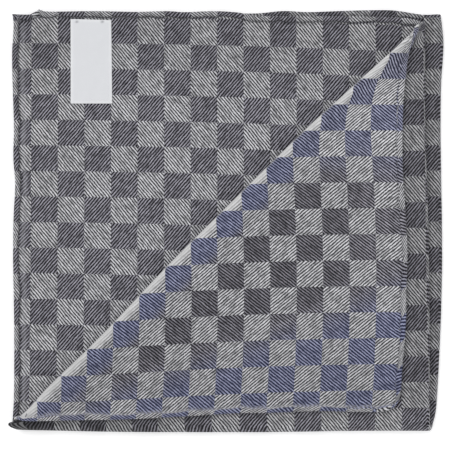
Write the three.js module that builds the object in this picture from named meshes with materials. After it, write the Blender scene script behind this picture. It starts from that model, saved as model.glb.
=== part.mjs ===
// A folded pocket square: one square of cotton twill with a hand-rolled hem, folded in
// quarters, with the free corner of its top layer turned back over the line that joins two
// opposite corners. A plain woven tape label is sewn in at the top hem.
//
// Units are millimetres and +Z is up. The square lies flat on Z = 0, seen from above with
// +X to the right and +Y away from the bottom fold. The layers are counted from the top:
// the first layer carries the turned-back flap, the fourth lies on the table. The first and
// second layers join at the upper right fold, the third and fourth at the lower right fold,
// and the bottom fold joins the first to the fourth and the second to the third.

import * as THREE from 'three';

// Cloth
const SHEET = 1.0; // thickness of one layer
const GAP = 0.35; // air between two layers that lie on each other
const PITCH = SHEET + GAP;
const HEM = { width: 2.6, rise: 0.45 }; // the roll stands proud of one side of the cloth
const HEM_STEPS = [0.12, 0.5, 0.88, 1]; // rows across the roll, as shares of its width
const HEM_LIFT = { full: 3.4, none: 20 }; // how far in from a hem the layers above it rise
const SWELL = { height: 0.3, acrossX: 24, acrossY: 31 }; // slack left between the layers

// Turned-back corner: the outermost line of its rolled edge, between two tips, and how far
// that line bows out at lengths from its lower tip
const CREASE = { from: { x: -77.4, y: -74.5 }, to: { x: 75.5, y: 75.7 } };
const CREASE_BOW = [
  { along: 0, out: 0 },
  { along: 9, out: 1.3 },
  { along: 22, out: 1.9 },
  { along: 42, out: 1.7 },
  { along: 75, out: 2.4 },
  { along: 140, out: 2.7 },
  { along: 170, out: 1.9 },
  { along: 190, out: 1.5 },
  { along: 204, out: 0.8 },
  { along: 214, out: 0 },
];
const CREST = { lift: 0.45, reach: 9 }; // the flap stands higher beside its crease
const TIP_INSET = 0.5; // how far the tips stay inside the line where the roll starts
const TIP_BLEND = 4; // length over which the roll opens out from a tip
const TIP_SHARE = 0.13; // share of a fold over which its turned-back side draws in to a tip

// Outlines, as places along each edge
const OUTLINE = { left: -81, right: 82.5, top: 80.2, bottom: -80 };
const TOP_EDGE_UPPER = [
  { x: -81.0, y: 79.0 },
  { x: -77.0, y: 78.9 },
  { x: -71.4, y: 80.7 },
  { x: -67.0, y: 79.9 },
  { x: -50.0, y: 80.1 },
  { x: -34.0, y: 79.8 },
  { x: -22.0, y: 80.1 },
  { x: -16.0, y: 79.7 },
  { x: -4.0, y: 80.1 },
  { x: 5.4, y: 79.5 },
  { x: 12.0, y: 78.3 },
  { x: 55.0, y: 78.0 },
  { x: 70.0, y: 77.3 },
  { x: 76.0, y: 75.5 },
];
const TOP_EDGE_LOWER = [
  { x: -80.0, y: 78.6 },
  { x: -60.0, y: 79.2 },
  { x: 0.0, y: 79.4 },
  { x: 12.0, y: 79.3 },
  { x: 22.0, y: 80.2 },
  { x: 31.0, y: 79.8 },
  { x: 50.0, y: 80.4 },
  { x: 64.0, y: 80.4 },
  { x: 75.0, y: 78.8 },
  { x: 82.0, y: 79.0 },
];
const LEFT_EDGE_UPPER = [
  { y: -75.0, x: -81.1 },
  { y: -67.0, x: -80.6 },
  { y: -40.0, x: -80.5 },
  { y: -13.0, x: -80.9 },
  { y: 2.0, x: -80.7 },
  { y: 14.5, x: -80.1 },
  { y: 24.0, x: -80.8 },
  { y: 36.0, x: -80.6 },
  { y: 63.0, x: -81.3 },
  { y: 75.0, x: -80.7 },
  { y: 79.0, x: -81.2 },
];
const LEFT_EDGE_LOWER = [
  { y: -76.0, x: -82.8 },
  { y: -71.0, x: -80.3 },
  { y: -40.0, x: -80.0 },
  { y: 80.0, x: -80.3 },
];
const RIGHT_FOLD_UPPER = [
  { y: -80.0, x: 77.7 },
  { y: -30.0, x: 77.5 },
  { y: 6.0, x: 76.9 },
  { y: 27.0, x: 76.2 },
  { y: 46.0, x: 75.8 },
  { y: 78.0, x: 76.0 },
];
const RIGHT_FOLD_LOWER = [
  { y: -80.0, x: 77.8 },
  { y: -77.0, x: 78.9 },
  { y: -72.0, x: 80.1 },
  { y: -59.0, x: 81.0 },
  { y: -34.0, x: 82.1 },
  { y: -10.0, x: 82.5 },
  { y: 33.0, x: 81.9 },
  { y: 52.0, x: 82.1 },
  { y: 68.0, x: 83.0 },
  { y: 79.0, x: 81.9 },
];
const BOTTOM_FOLD = [
  { x: -83.0, y: -78.6 },
  { x: -79.7, y: -79.4 },
  { x: -67.0, y: -79.8 },
  { x: -34.0, y: -80.4 },
  { x: 15.0, y: -80.3 },
  { x: 45.0, y: -79.7 },
  { x: 80.0, y: -79.7 },
];
const FLAP_CORNER = { x: 64.9, y: -69.9 };
const FLAP_RIGHT_HEM = [
  { y: 69.0, x: 72.0 },
  { y: 65.0, x: 70.4 },
  { y: 55.0, x: 68.4 },
  { y: 44.0, x: 67.5 },
  { y: 25.0, x: 67.2 },
  { y: 7.0, x: 68.1 },
  { y: -12.7, x: 69.1 },
  { y: -27.0, x: 68.6 },
  { y: -37.0, x: 68.6 },
  { y: -55.0, x: 67.2 },
  { y: -66.0, x: 66.4 },
];
const FLAP_BOTTOM_HEM = [
  { x: -72.5, y: -75.8 },
  { x: -53.0, y: -75.4 },
  { x: -43.0, y: -75.3 },
  { x: -24.0, y: -74.5 },
  { x: 5.0, y: -72.8 },
  { x: 16.0, y: -72.7 },
  { x: 36.0, y: -72.0 },
  { x: 50.0, y: -72.3 },
  { x: 61.0, y: -72.0 },
];

// Label
const LABEL = { left: -59.1, right: -43.5, top: 77.0, bottom: 44.9, thickness: 0.5 };
const LABEL_CELLS = { across: 3, along: 8 };
const LABEL_GAP = 0.3;

// Division of the cloth: half of it, from a fold to a hem, runs from 0 to 1 both ways
const BEND = 0.02; // share of a half that goes round a fold
const BEND_STEPS = 6;
const FOLD_LINE = 3; // length from a fold to the first dividing line past it
const PLAIN_STEPS = 8;
const LIFT_LINES = [20, 15.5, 11, 6.5]; // lengths from a hem where the layers rise
const HALF_LENGTH = 156; // from a fold to a hem, to turn shares into lengths
const ROLL_STEPS = 5;
const FLAP_LINES = [3, 7, 12, 18]; // lengths past the roll where the flap still curves
const SNAP = 0.3; // a corner this close to a cutting line is taken to lie on it
const TANGENT_STEP = 1e-5;

const RIGHT = new THREE.Vector3(1, 0, 0);
const FRONT = new THREE.Vector3(0, -1, 0);

const { lerp, clamp, smoothstep } = THREE.MathUtils;

/** Smooth curve through the rows of a table: gives `value` at a place along `key`. */
function through(rows, key, value) {
  const knots = [...rows].sort((p, q) => p[key] - q[key]);
  const last = knots.length - 1;
  const slope = (i) => {
    const before = knots[Math.max(i - 1, 0)];
    const after = knots[Math.min(i + 1, last)];
    return (after[value] - before[value]) / (after[key] - before[key]);
  };
  return (at) => {
    const place = clamp(at, knots[0][key], knots[last][key]);
    const i = Math.max(1, knots.findIndex((knot) => knot[key] >= place)) - 1;
    const span = knots[i + 1][key] - knots[i][key];
    const f = (place - knots[i][key]) / span;
    const level = lerp(knots[i][value], knots[i + 1][value], f * f * (3 - 2 * f));
    const tilt = slope(i) * (1 - f) - slope(i + 1) * f;
    return level + tilt * span * f * (1 - f);
  };
}

/** How near a place is to the stacked hems at the left and top: 1 on them, 0 far inside. */
function nearHem(x, y) {
  const onLeft = 1 - smoothstep(x - OUTLINE.left, HEM_LIFT.full, HEM_LIFT.none);
  const onTop = 1 - smoothstep(OUTLINE.top - y, HEM_LIFT.full, HEM_LIFT.none);
  return 1 - (1 - onLeft) * (1 - onTop);
}

/** Height of the middle of each layer over the table, the first layer on top. */
function heights(x, y) {
  const hems = 2 * HEM.rise * nearHem(x, y);
  const wave = Math.sin(x / SWELL.acrossX) * Math.cos(y / SWELL.acrossY);
  const slack = SWELL.height * (1 + wave) / 2;
  const fourth = SHEET / 2;
  const third = fourth + PITCH + hems + slack;
  const second = third + PITCH + slack;
  const first = second + PITCH + hems + slack;
  return { first, second, third, fourth };
}

// Folds: where a layer starts to turn, inside the outermost line of the fold

const rightUpper = through(RIGHT_FOLD_UPPER, 'y', 'x');
const rightLower = through(RIGHT_FOLD_LOWER, 'y', 'x');
const bottom = through(BOTTOM_FOLD, 'x', 'y');

/** Turning line of the fold between the first two layers, as x at a place y. */
function turnRightUpper(y) {
  const { first, second } = heights(rightUpper(y), y);
  return rightUpper(y) - (first - second + SHEET) / 2;
}

/** Turning line of the fold between the last two layers, as x at a place y. */
function turnRightLower(y) {
  const { third, fourth } = heights(rightLower(y), y);
  return rightLower(y) - (third - fourth + SHEET) / 2;
}

/** Turning line of the bottom fold, as y at a place x. */
function turnBottom(x) {
  const { first, fourth } = heights(x, bottom(x));
  return bottom(x) + (first - fourth + SHEET) / 2;
}

// The crease of the turned-back corner, and the way across it towards the unfolded side

const creaseFrom = new THREE.Vector2(CREASE.from.x, CREASE.from.y);
const creaseLine = new THREE.Vector2(CREASE.to.x, CREASE.to.y).sub(creaseFrom).normalize();
const across = new THREE.Vector2(-creaseLine.y, creaseLine.x);
const rollRadius = (PITCH + CREST.lift) / 2;
const rollLength = Math.PI * rollRadius;
const rollStart = creaseFrom.clone().addScaledVector(across, -(rollRadius + SHEET / 2));

const bow = through(CREASE_BOW, 'along', 'out');

/** Distance of a place from the line where the roll starts, positive on the unfolded side. */
function beyondRoll(place) {
  const fromStart = place.clone().sub(rollStart);
  return fromStart.dot(across) - bow(fromStart.dot(creaseLine));
}

/** Opens the flap: where a place on it would lie if the first layer were not turned back. */
function unroll(x, y) {
  const place = new THREE.Vector2(x, y);
  const inside = -beyondRoll(place);
  const opened = smoothstep(inside, TIP_INSET, TIP_BLEND);
  const target = lerp(-inside, inside + rollLength, opened);
  return place.addScaledVector(across, inside + target);
}

/** Place where two curves meet, one giving x at a place y and the other y at a place x. */
function meet(xAt, yAt, start) {
  const place = new THREE.Vector2(start.x, start.y);
  for (let round = 0; round < 20; round += 1) {
    place.x = xAt(place.y);
    place.y = yAt(place.x);
  }
  return place;
}

const tipLine = rollStart.clone().addScaledVector(across, -TIP_INSET);
const creaseSlope = creaseLine.y / creaseLine.x;
const tipYAt = (x) => tipLine.y + (x - tipLine.x) * creaseSlope;
const tipXAt = (y) => tipLine.x + (y - tipLine.y) / creaseSlope;
const upperTip = meet(turnRightUpper, tipYAt, CREASE.to);
const lowerTip = meet(tipXAt, turnBottom, CREASE.from);

const flapRight = through([{ ...upperTip }, ...FLAP_RIGHT_HEM, FLAP_CORNER], 'y', 'x');
const flapBottom = through([{ ...lowerTip }, ...FLAP_BOTTOM_HEM, FLAP_CORNER], 'x', 'y');

/** Surface between four edges, with a running from right to left and b from bottom to top. */
function patch({ right, left, lower, upper }) {
  const corners = [right(0), right(1), left(0), left(1)];
  return (a, b) => {
    const place = new THREE.Vector2();
    place.addScaledVector(right(b), 1 - a).addScaledVector(left(b), a);
    place.addScaledVector(lower(a), 1 - b).addScaledVector(upper(a), b);
    place.addScaledVector(corners[0], -(1 - a) * (1 - b)).addScaledVector(corners[1], -(1 - a) * b);
    place.addScaledVector(corners[2], -a * (1 - b)).addScaledVector(corners[3], -a * b);
    return place;
  };
}

/** Patch of a layer whose edges are curves of x at a place y, and of y at a place x. */
function layerPatch(rightX, leftX, lowerY, upperY) {
  const lowerRight = meet(rightX, lowerY, { x: OUTLINE.right, y: OUTLINE.bottom });
  const upperRight = meet(rightX, upperY, { x: OUTLINE.right, y: OUTLINE.top });
  const lowerLeft = meet(leftX, lowerY, { x: OUTLINE.left, y: OUTLINE.bottom });
  const upperLeft = meet(leftX, upperY, { x: OUTLINE.left, y: OUTLINE.top });
  const upright = (xAt, from, to) => (b) => {
    const y = lerp(from.y, to.y, b);
    return new THREE.Vector2(xAt(y), y);
  };
  const level = (yAt, from, to) => (a) => {
    const x = lerp(from.x, to.x, a);
    return new THREE.Vector2(x, yAt(x));
  };
  return patch({
    right: upright(rightX, lowerRight, upperRight),
    left: upright(leftX, lowerLeft, upperLeft),
    lower: level(lowerY, lowerRight, lowerLeft),
    upper: level(upperY, upperRight, upperLeft),
  });
}

const topUpper = through(TOP_EDGE_UPPER, 'x', 'y');
const topLower = through(TOP_EDGE_LOWER, 'x', 'y');
const leftUpper = through(LEFT_EDGE_UPPER, 'y', 'x');
const leftLower = through(LEFT_EDGE_LOWER, 'y', 'x');

const secondPlan = layerPatch(turnRightUpper, leftUpper, turnBottom, topUpper);
const lowerPlan = layerPatch(turnRightLower, leftLower, turnBottom, topLower);

const firstLowerRight = meet(turnRightUpper, turnBottom, { x: OUTLINE.right, y: OUTLINE.bottom });
const secondUpperRight = meet(turnRightUpper, topUpper, { x: OUTLINE.right, y: OUTLINE.top });
const fourthLowerLeft = meet(leftLower, turnBottom, { x: OUTLINE.left, y: OUTLINE.bottom });

/** Runs level with the layer that the fold joins, and draws in to the tip at the very end. */
function drawIn(from, joined, tip, share) {
  return lerp(from, joined, share) + (tip - joined) * smoothstep(share, 1 - TIP_SHARE, 1);
}

const firstPlan = patch({
  right: (b) => {
    const y = drawIn(firstLowerRight.y, secondUpperRight.y, upperTip.y, b);
    return new THREE.Vector2(turnRightUpper(y), y);
  },
  lower: (a) => {
    const x = drawIn(firstLowerRight.x, fourthLowerLeft.x, lowerTip.x, a);
    return new THREE.Vector2(x, turnBottom(x));
  },
  upper: (a) => {
    const y = lerp(upperTip.y, FLAP_CORNER.y, a);
    return unroll(flapRight(y), y);
  },
  left: (b) => {
    const x = lerp(lowerTip.x, FLAP_CORNER.x, b);
    return unroll(x, flapBottom(x));
  },
});

/** Height of the middle of the flap, given how far a place on it is from its roll. */
function flapHeight(x, y, inside) {
  const crest = CREST.lift * Math.exp(-((inside / CREST.reach) ** 2));
  return heights(x, y).first + PITCH + crest;
}

/** Middle of the first layer: flat, round the roll of its crease, or back over itself. */
function firstLayer(a, b) {
  const place = firstPlan(a, b);
  const beyond = beyondRoll(place);
  if (beyond <= 0) {
    return new THREE.Vector3(place.x, place.y, heights(place.x, place.y).first);
  }
  place.addScaledVector(across, -beyond);
  if (beyond < rollLength) {
    const angle = beyond / rollRadius;
    const base = heights(place.x, place.y).first;
    place.addScaledVector(across, rollRadius * Math.sin(angle));
    return new THREE.Vector3(place.x, place.y, base + rollRadius * (1 - Math.cos(angle)));
  }
  const inside = beyond - rollLength;
  place.addScaledVector(across, -inside);
  return new THREE.Vector3(place.x, place.y, flapHeight(place.x, place.y, inside));
}

/** Middle of a flat-lying layer. */
function plainLayer(plan, name, a, b) {
  const place = plan(a, b);
  return new THREE.Vector3(place.x, place.y, heights(place.x, place.y)[name]);
}

/** Goes round a fold from one layer to another, with turn running from -1 to 1. */
function goRound(from, to, outward, turn) {
  const angle = turn * Math.PI / 2;
  const half = to.clone().sub(from).multiplyScalar(0.5);
  const middle = from.clone().add(half);
  const bulge = Math.abs(half.z) * Math.cos(angle);
  return middle.addScaledVector(half, Math.sin(angle)).addScaledVector(outward, bulge);
}

/**
 * Middle of the cloth at a place on the flat square. s and t run from -1 to 1 between the
 * hems: s is positive on the second and third layers, t on the first and second.
 */
function place(s, t) {
  if (Math.abs(t) < BEND) {
    return goRound(place(s, -BEND), place(s, BEND), FRONT, t / BEND);
  }
  if (Math.abs(s) < BEND) {
    return goRound(place(BEND, t), place(-BEND, t), RIGHT, -s / BEND);
  }
  const a = (Math.abs(s) - BEND) / (1 - BEND);
  const b = (Math.abs(t) - BEND) / (1 - BEND);
  if (t > 0) {
    return s > 0 ? plainLayer(secondPlan, 'second', a, b) : firstLayer(a, b);
  }
  return plainLayer(lowerPlan, s > 0 ? 'third' : 'fourth', a, b);
}

/** Way out of the cloth's plain side, the one that does not carry the rolled hem. */
function plainSide(s, t) {
  const [s0, s1] = [Math.max(s - TANGENT_STEP, -1), Math.min(s + TANGENT_STEP, 1)];
  const [t0, t1] = [Math.max(t - TANGENT_STEP, -1), Math.min(t + TANGENT_STEP, 1)];
  const alongS = place(s1, t).sub(place(s0, t));
  const alongT = place(s, t1).sub(place(s, t0));
  return alongS.cross(alongT).normalize();
}

/** How far the rolled hem stands proud of the other side. It is pressed thin at the folds. */
function hemRise(s, t) {
  const fromEdge = (1 - Math.max(Math.abs(s), Math.abs(t))) * HALF_LENGTH;
  const fromFold = Math.min(Math.abs(s), Math.abs(t));
  const acrossRoll = clamp(fromEdge / HEM.width, 0, 1) * 2 - 1;
  const pressed = smoothstep(fromFold, BEND / 2, 2 * BEND);
  return HEM.rise * pressed * Math.sqrt(1 - acrossRoll ** 2);
}

// The cloth as a closed solid

/** Lines that divide one half of the cloth, from 0 at the fold to 1 at the hem. */
function divisions() {
  const turns = Array.from({ length: BEND_STEPS / 2 }, (_, i) => BEND * i / (BEND_STEPS / 2));
  const rows = HEM_STEPS.map((share) => share * HEM.width).reverse();
  const hems = [...LIFT_LINES, ...rows, 0].map((length) => 1 - length / HALF_LENGTH);
  const past = BEND + FOLD_LINE / HALF_LENGTH;
  const plain = Array.from({ length: PLAIN_STEPS }, (_, i) => lerp(past, hems[0], i / PLAIN_STEPS));
  const half = [...turns, BEND, ...plain, ...hems];
  return [...half.slice(1).map((line) => -line).reverse(), ...half];
}

/** Square cells between the dividing lines, as lists of corners. */
function squareCells(lines, corners) {
  const cells = [];
  const count = lines.length;
  lines.forEach((t) => lines.forEach((s) => corners.push({ s, t })));
  for (let row = 0; row < count - 1; row += 1) {
    for (let column = 0; column < count - 1; column += 1) {
      const first = row * count + column;
      cells.push([first, first + 1, first + count + 1, first + count]);
    }
  }
  return cells;
}

/** Length past the line where the roll starts, on the first layer; elsewhere below zero. */
function rolled({ s, t }) {
  if (s > -BEND || t < BEND) {
    return -HALF_LENGTH;
  }
  return beyondRoll(firstPlan((-s - BEND) / (1 - BEND), (t - BEND) / (1 - BEND)));
}

/** Cuts the cells along the line at a given length past the start of the roll. */
function cutCells(cells, corners, length) {
  const side = corners.map((corner) => {
    const distance = rolled(corner) - length;
    return Math.abs(distance) < SNAP ? 0 : Math.sign(distance);
  });
  const cuts = new Map();
  const cutBetween = (i, j) => {
    const key = i < j ? `${i} ${j}` : `${j} ${i}`;
    if (!cuts.has(key)) {
      let [from, to] = side[i] < 0 ? [corners[i], corners[j]] : [corners[j], corners[i]];
      for (let round = 0; round < 24; round += 1) {
        const half = { s: (from.s + to.s) / 2, t: (from.t + to.t) / 2 };
        [from, to] = rolled(half) < length ? [half, to] : [from, half];
      }
      corners.push(to);
      cuts.set(key, corners.length - 1);
    }
    return cuts.get(key);
  };
  return cells.flatMap((cell) => {
    const below = [];
    const above = [];
    cell.forEach((corner, k) => {
      const next = cell[(k + 1) % cell.length];
      if (side[corner] <= 0) below.push(corner);
      if (side[corner] >= 0) above.push(corner);
      if (side[corner] * side[next] < 0) {
        const cut = cutBetween(corner, next);
        below.push(cut);
        above.push(cut);
      }
    });
    const whole = !cell.some((corner) => side[corner] > 0) || !cell.some((corner) => side[corner] < 0);
    return whole ? [cell] : [below, above];
  });
}

/**
 * Closed solid of a sheet. Each corner has a point on the sheet's first and second side,
 * and the cells run anticlockwise as seen from the first side.
 */
function thickSheet(cells, firstSide, secondSide) {
  const count = firstSide.length;
  const triangles = [];
  const open = new Map();
  for (const cell of cells) {
    for (let k = 1; k < cell.length - 1; k += 1) {
      triangles.push(cell[0], cell[k], cell[k + 1]);
      triangles.push(cell[0] + count, cell[k + 1] + count, cell[k] + count);
    }
    cell.forEach((corner, k) => {
      const next = cell[(k + 1) % cell.length];
      if (!open.delete(`${next} ${corner}`)) {
        open.set(`${corner} ${next}`, [corner, next]);
      }
    });
  }
  for (const [corner, next] of open.values()) {
    triangles.push(corner + count, next + count, next);
    triangles.push(corner + count, next, corner);
  }
  const points = [...firstSide, ...secondSide].flatMap((point) => point.toArray());
  const geometry = new THREE.BufferGeometry();
  geometry.setAttribute('position', new THREE.Float32BufferAttribute(points, 3));
  geometry.setIndex(triangles);
  geometry.computeVertexNormals();
  return geometry;
}

/** The whole folded cloth with its rolled hem. */
function clothGeometry() {
  const corners = [];
  const rollLines = Array.from({ length: ROLL_STEPS + 1 }, (_, i) => rollLength * i / ROLL_STEPS);
  const flapLines = FLAP_LINES.map((length) => rollLength + length);
  const cells = [...rollLines, ...flapLines].reduce(
    (pieces, length) => cutCells(pieces, corners, length),
    squareCells(divisions(), corners),
  );
  const plain = [];
  const rolledSide = [];
  for (const { s, t } of corners) {
    const middle = place(s, t);
    const out = plainSide(s, t);
    plain.push(middle.clone().addScaledVector(out, SHEET / 2));
    rolledSide.push(middle.addScaledVector(out, -SHEET / 2 - hemRise(s, t)));
  }
  return thickSheet(cells, plain, rolledSide);
}

/** The tape label, lying on the second layer just inside its top hem. */
function labelGeometry() {
  const { across: columns, along: rows } = LABEL_CELLS;
  const under = [];
  const cells = [];
  for (let row = 0; row <= rows; row += 1) {
    for (let column = 0; column <= columns; column += 1) {
      const x = lerp(LABEL.left, LABEL.right, column / columns);
      const y = lerp(LABEL.bottom, LABEL.top, row / rows);
      const cloth = heights(x, y).second + SHEET / 2;
      under.push(new THREE.Vector3(x, y, cloth + LABEL_GAP));
      if (row < rows && column < columns) {
        const first = row * (columns + 1) + column;
        cells.push([first, first + 1, first + columns + 2, first + columns + 1]);
      }
    }
  }
  const over = under.map((point) => point.clone().setZ(point.z + LABEL.thickness));
  return thickSheet(cells, over, under);
}

/** A named part with its own finish. */
function part(name, geometry, finish) {
  const mesh = new THREE.Mesh(geometry, new THREE.MeshStandardMaterial(finish));
  mesh.name = name;
  return mesh;
}

const square = new THREE.Group();
square.add(part('cloth', clothGeometry(), { color: 0x76767e, roughness: 0.85, metalness: 0 }));
square.add(part('label', labelGeometry(), { color: 0xe6e6ea, roughness: 0.6, metalness: 0 }));

const extent = new THREE.Box3().setFromObject(square);
const centre = extent.getCenter(new THREE.Vector3());
square.position.set(-centre.x, -centre.y, -extent.min.z);

export default square;
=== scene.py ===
"""A folded pocket square of checked cotton twill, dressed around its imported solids.

One square of cloth with a hand-rolled hem lies folded in quarters. The free corner of its
top layer is turned back along the diagonal. A bare tape label is sewn in at the hem of the
second layer. Sizes are in millimetres until a mesh is made, which is in metres.

Places are given from the middle of the folded square, with X to the right, Y away from the
bottom fold and Z up. The layers are counted from the top: the first carries the turned-back
corner and the fourth lies on the surface.
"""

from __future__ import annotations

import logging
import math
from collections.abc import Callable, Mapping, Sequence
from dataclasses import dataclass, field
from enum import Enum
from typing import Any

import bpy
import numpy as np
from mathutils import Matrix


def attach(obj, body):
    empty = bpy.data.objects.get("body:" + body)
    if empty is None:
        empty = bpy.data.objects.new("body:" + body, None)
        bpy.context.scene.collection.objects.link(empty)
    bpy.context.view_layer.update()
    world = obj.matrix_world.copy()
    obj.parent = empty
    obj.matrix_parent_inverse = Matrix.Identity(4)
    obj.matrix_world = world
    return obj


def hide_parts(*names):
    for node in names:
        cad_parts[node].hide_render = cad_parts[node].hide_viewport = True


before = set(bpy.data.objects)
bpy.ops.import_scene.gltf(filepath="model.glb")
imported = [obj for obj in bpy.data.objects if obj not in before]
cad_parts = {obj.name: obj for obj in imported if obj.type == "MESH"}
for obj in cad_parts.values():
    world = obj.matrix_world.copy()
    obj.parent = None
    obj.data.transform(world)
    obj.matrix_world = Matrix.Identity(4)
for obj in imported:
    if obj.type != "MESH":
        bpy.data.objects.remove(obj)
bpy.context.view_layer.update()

LOG = logging.getLogger("pocket_square")
MM = 0.001
NOISE_ROUGHNESS = 0.55
Array = np.ndarray
Edge = Callable[[Array], Array]
Plan = Callable[[Array, Array], Array]
Cells = list[list[int]]
Two = tuple[float, float]
Three = tuple[float, float, float]
Four = tuple[float, float, float, float]
Numbers = tuple[float, ...]
Colour = Four


def mix(first: Any, second: Any, share: Any) -> Any:
    """Goes from first at share 0 to second at share 1."""
    return first + (second - first) * share


def pair(x: Any, y: Any) -> Array:
    """Joins two coordinates to places on the plan."""
    return np.stack(np.broadcast_arrays(np.asarray(x, float), np.asarray(y, float)), axis=-1)


def hill(value: Array, width: float) -> Array:
    """Falls from 1 at zero to almost nothing at twice the width."""
    return np.exp(-((value / width) ** 2))


def grid_cells(columns: int, rows: int) -> Cells:
    """Corner numbers of the cells of a grid."""
    starts = (row * (columns + 1) + column for row in range(rows) for column in range(columns))
    return [[start, start + 1, start + columns + 2, start + columns + 1] for start in starts]


def link(name: str, data: Any) -> bpy.types.Object:
    """Puts an object with its data into the scene."""
    made = bpy.data.objects.new(name, data)
    bpy.context.scene.collection.objects.link(made)
    return made


def write(mesh: bpy.types.Mesh, name: str, values: Array, domain: str = "POINT") -> None:
    """Writes one number to each point or face of a mesh."""
    attribute = mesh.attributes.new(name, "FLOAT", domain)
    attribute.data.foreach_set("value", values.astype(np.float32))


def closed_sheet(name: str, cells: Cells, face: Array, back: Array) -> tuple[bpy.types.Mesh, int]:
    """Joins the two sides of a sheet along its open edges.

    Args:
        name: Name of the mesh.
        cells: Corner numbers of each cell, counted round as its face shows.
        face: Places of the corners on the face.
        back: Places of the same corners on the back.

    Returns:
        The mesh, with its face, its back and its rim in that order, and the rim's count of faces.
    """
    count = len(face)
    edges: dict[tuple[int, int], None] = {}
    for cell in cells:
        for first, second in zip(cell, cell[1:] + cell[:1]):
            if (second, first) in edges:
                del edges[(second, first)]
            else:
                edges[(first, second)] = None
    rim = [[a + count, b + count, b, a] for a, b in edges]
    under = [[corner + count for corner in reversed(cell)] for cell in cells]
    mesh = bpy.data.meshes.new(name)
    mesh.from_pydata((np.concatenate([face, back]) * MM).tolist(), [], [*cells, *under, *rim])
    mesh.polygons.foreach_set("use_smooth", np.ones(len(mesh.polygons), bool))
    mesh.update()
    return mesh, len(rim)


@dataclass(frozen=True)
class Ramp:
    """A smooth change from one level to another."""

    low: float
    high: float
    before: float = 0.0
    after: float = 1.0

    def at(self, value: Array) -> Array:
        """Level at a value: the first up to low, the second from high on."""
        share = np.clip((np.asarray(value, float) - self.low) / (self.high - self.low), 0.0, 1.0)
        return mix(self.before, self.after, share * share * (3.0 - 2.0 * share))


@dataclass(frozen=True)
class Line:
    """A smooth, slightly uneven line, given by how far across it lies at places along it."""

    along: Numbers
    across: Numbers

    def at(self, places: Array) -> Array:
        """Follows the line through its points without a kink.

        Args:
            places: Places along the line.

        Returns:
            How far across the line lies there.
        """
        knots, levels = np.array(self.along, float), np.array(self.across, float)
        rise, run = np.diff(levels), np.diff(knots)
        inner = (levels[2:] - levels[:-2]) / (knots[2:] - knots[:-2])
        slopes = np.concatenate([[rise[0] / run[0]], inner, [rise[-1] / run[-1]]])
        held = np.clip(np.asarray(places, float), knots[0], knots[-1])
        i = np.clip(np.searchsorted(knots, held, side="right") - 1, 0, len(knots) - 2)
        share = (held - knots[i]) / run[i]
        level = mix(levels[i], levels[i + 1], share * share * (3.0 - 2.0 * share))
        tilt = slopes[i] * (1.0 - share) - slopes[i + 1] * share
        return level + tilt * run[i] * share * (1.0 - share)


@dataclass(frozen=True)
class CheckGrid:
    """Where the woven checks lie on one layer, by the numbers of their columns and rows.

    Each number is given in the middle of the folded square, per unit to the right and per
    unit away from the bottom fold. What follows is for the squares and the product of those.
    """

    column: Numbers
    row: Numbers
    unit: float = 100.0

    def at(self, plan: Array) -> Array:
        """Gives the column and row numbers at places on the plan.

        Args:
            plan: Places in millimetres.

        Returns:
            The two numbers, whole at the borders of the checks.
        """
        x, y = plan[..., 0] / self.unit, plan[..., 1] / self.unit
        terms = (1.0, x, y, x * x, x * y, y * y)
        column, row = (sum(share * term for share, term in zip(shares, terms))
                       for shares in (self.column, self.row))
        return pair(column, row)


class Layer(Enum):
    """The layers of the folded square, from the top."""

    FIRST = "first"
    SECOND = "second"
    THIRD = "third"
    FOURTH = "fourth"


@dataclass(frozen=True)
class Outline:
    """The lines that the edges and folds of the layers follow."""

    left: float = -81.0
    right: float = 82.5
    top: float = 80.2
    bottom: float = -80.0
    top_upper: Line = Line(
        (-81.0, -77.0, -73.4, -71.7, -70.2, -67.0, -50.0, -34.0,
         -22.0, -16.0, -4.0, 5.4, 12.0, 55.0, 70.0, 76.0),
        (79.0, 78.8, 79.1, 81.0, 80.2, 79.9, 80.1, 79.8,
         80.1, 79.7, 80.1, 79.5, 78.3, 78.0, 77.3, 75.5),
    )
    top_lower: Line = Line(
        (-80.0, -60.0, 0.0, 12.0, 22.0, 31.0, 50.0, 64.0, 75.0, 82.0),
        (78.6, 79.2, 79.4, 79.3, 80.2, 79.8, 80.4, 80.4, 78.8, 79.0),
    )
    left_upper: Line = Line(
        (-75.0, -67.0, -40.0, -13.0, 2.0, 14.5, 24.0, 36.0, 63.0, 75.0, 79.0),
        (-81.1, -80.6, -80.5, -80.9, -80.7, -80.1, -80.8, -80.6, -81.3, -80.7, -81.2),
    )
    left_lower: Line = Line((-76.0, -74.3, -71.0, -40.0, 80.0), (-81.0, -80.5, -80.3, -80.0, -80.3))
    fold_upper: Line = Line((-80.0, -30.0, 6.0, 27.0, 46.0, 78.0), (77.7, 77.5, 76.9, 76.2, 75.8, 76.0))
    fold_lower: Line = Line(
        (-80.0, -77.0, -72.0, -59.0, -34.0, -10.0, 33.0, 52.0, 68.0, 79.0),
        (77.8, 78.9, 80.1, 81.0, 82.1, 82.5, 81.9, 82.1, 83.0, 81.9),
    )
    fold_bottom: Line = Line(
        (-83.0, -79.7, -67.0, -34.0, 15.0, 45.0, 80.0),
        (-78.6, -79.2, -79.5, -80.1, -80.15, -79.7, -79.7),
    )
    nib: Line = Line((-1.0, -0.5, 0.0, 0.33, 0.6, 0.83, 1.0), (0.0, 0.6, 0.9, -0.2, -1.9, -1.9, 0.0))
    nib_reach: Ramp = Ramp(70.0, 80.5)


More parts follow.
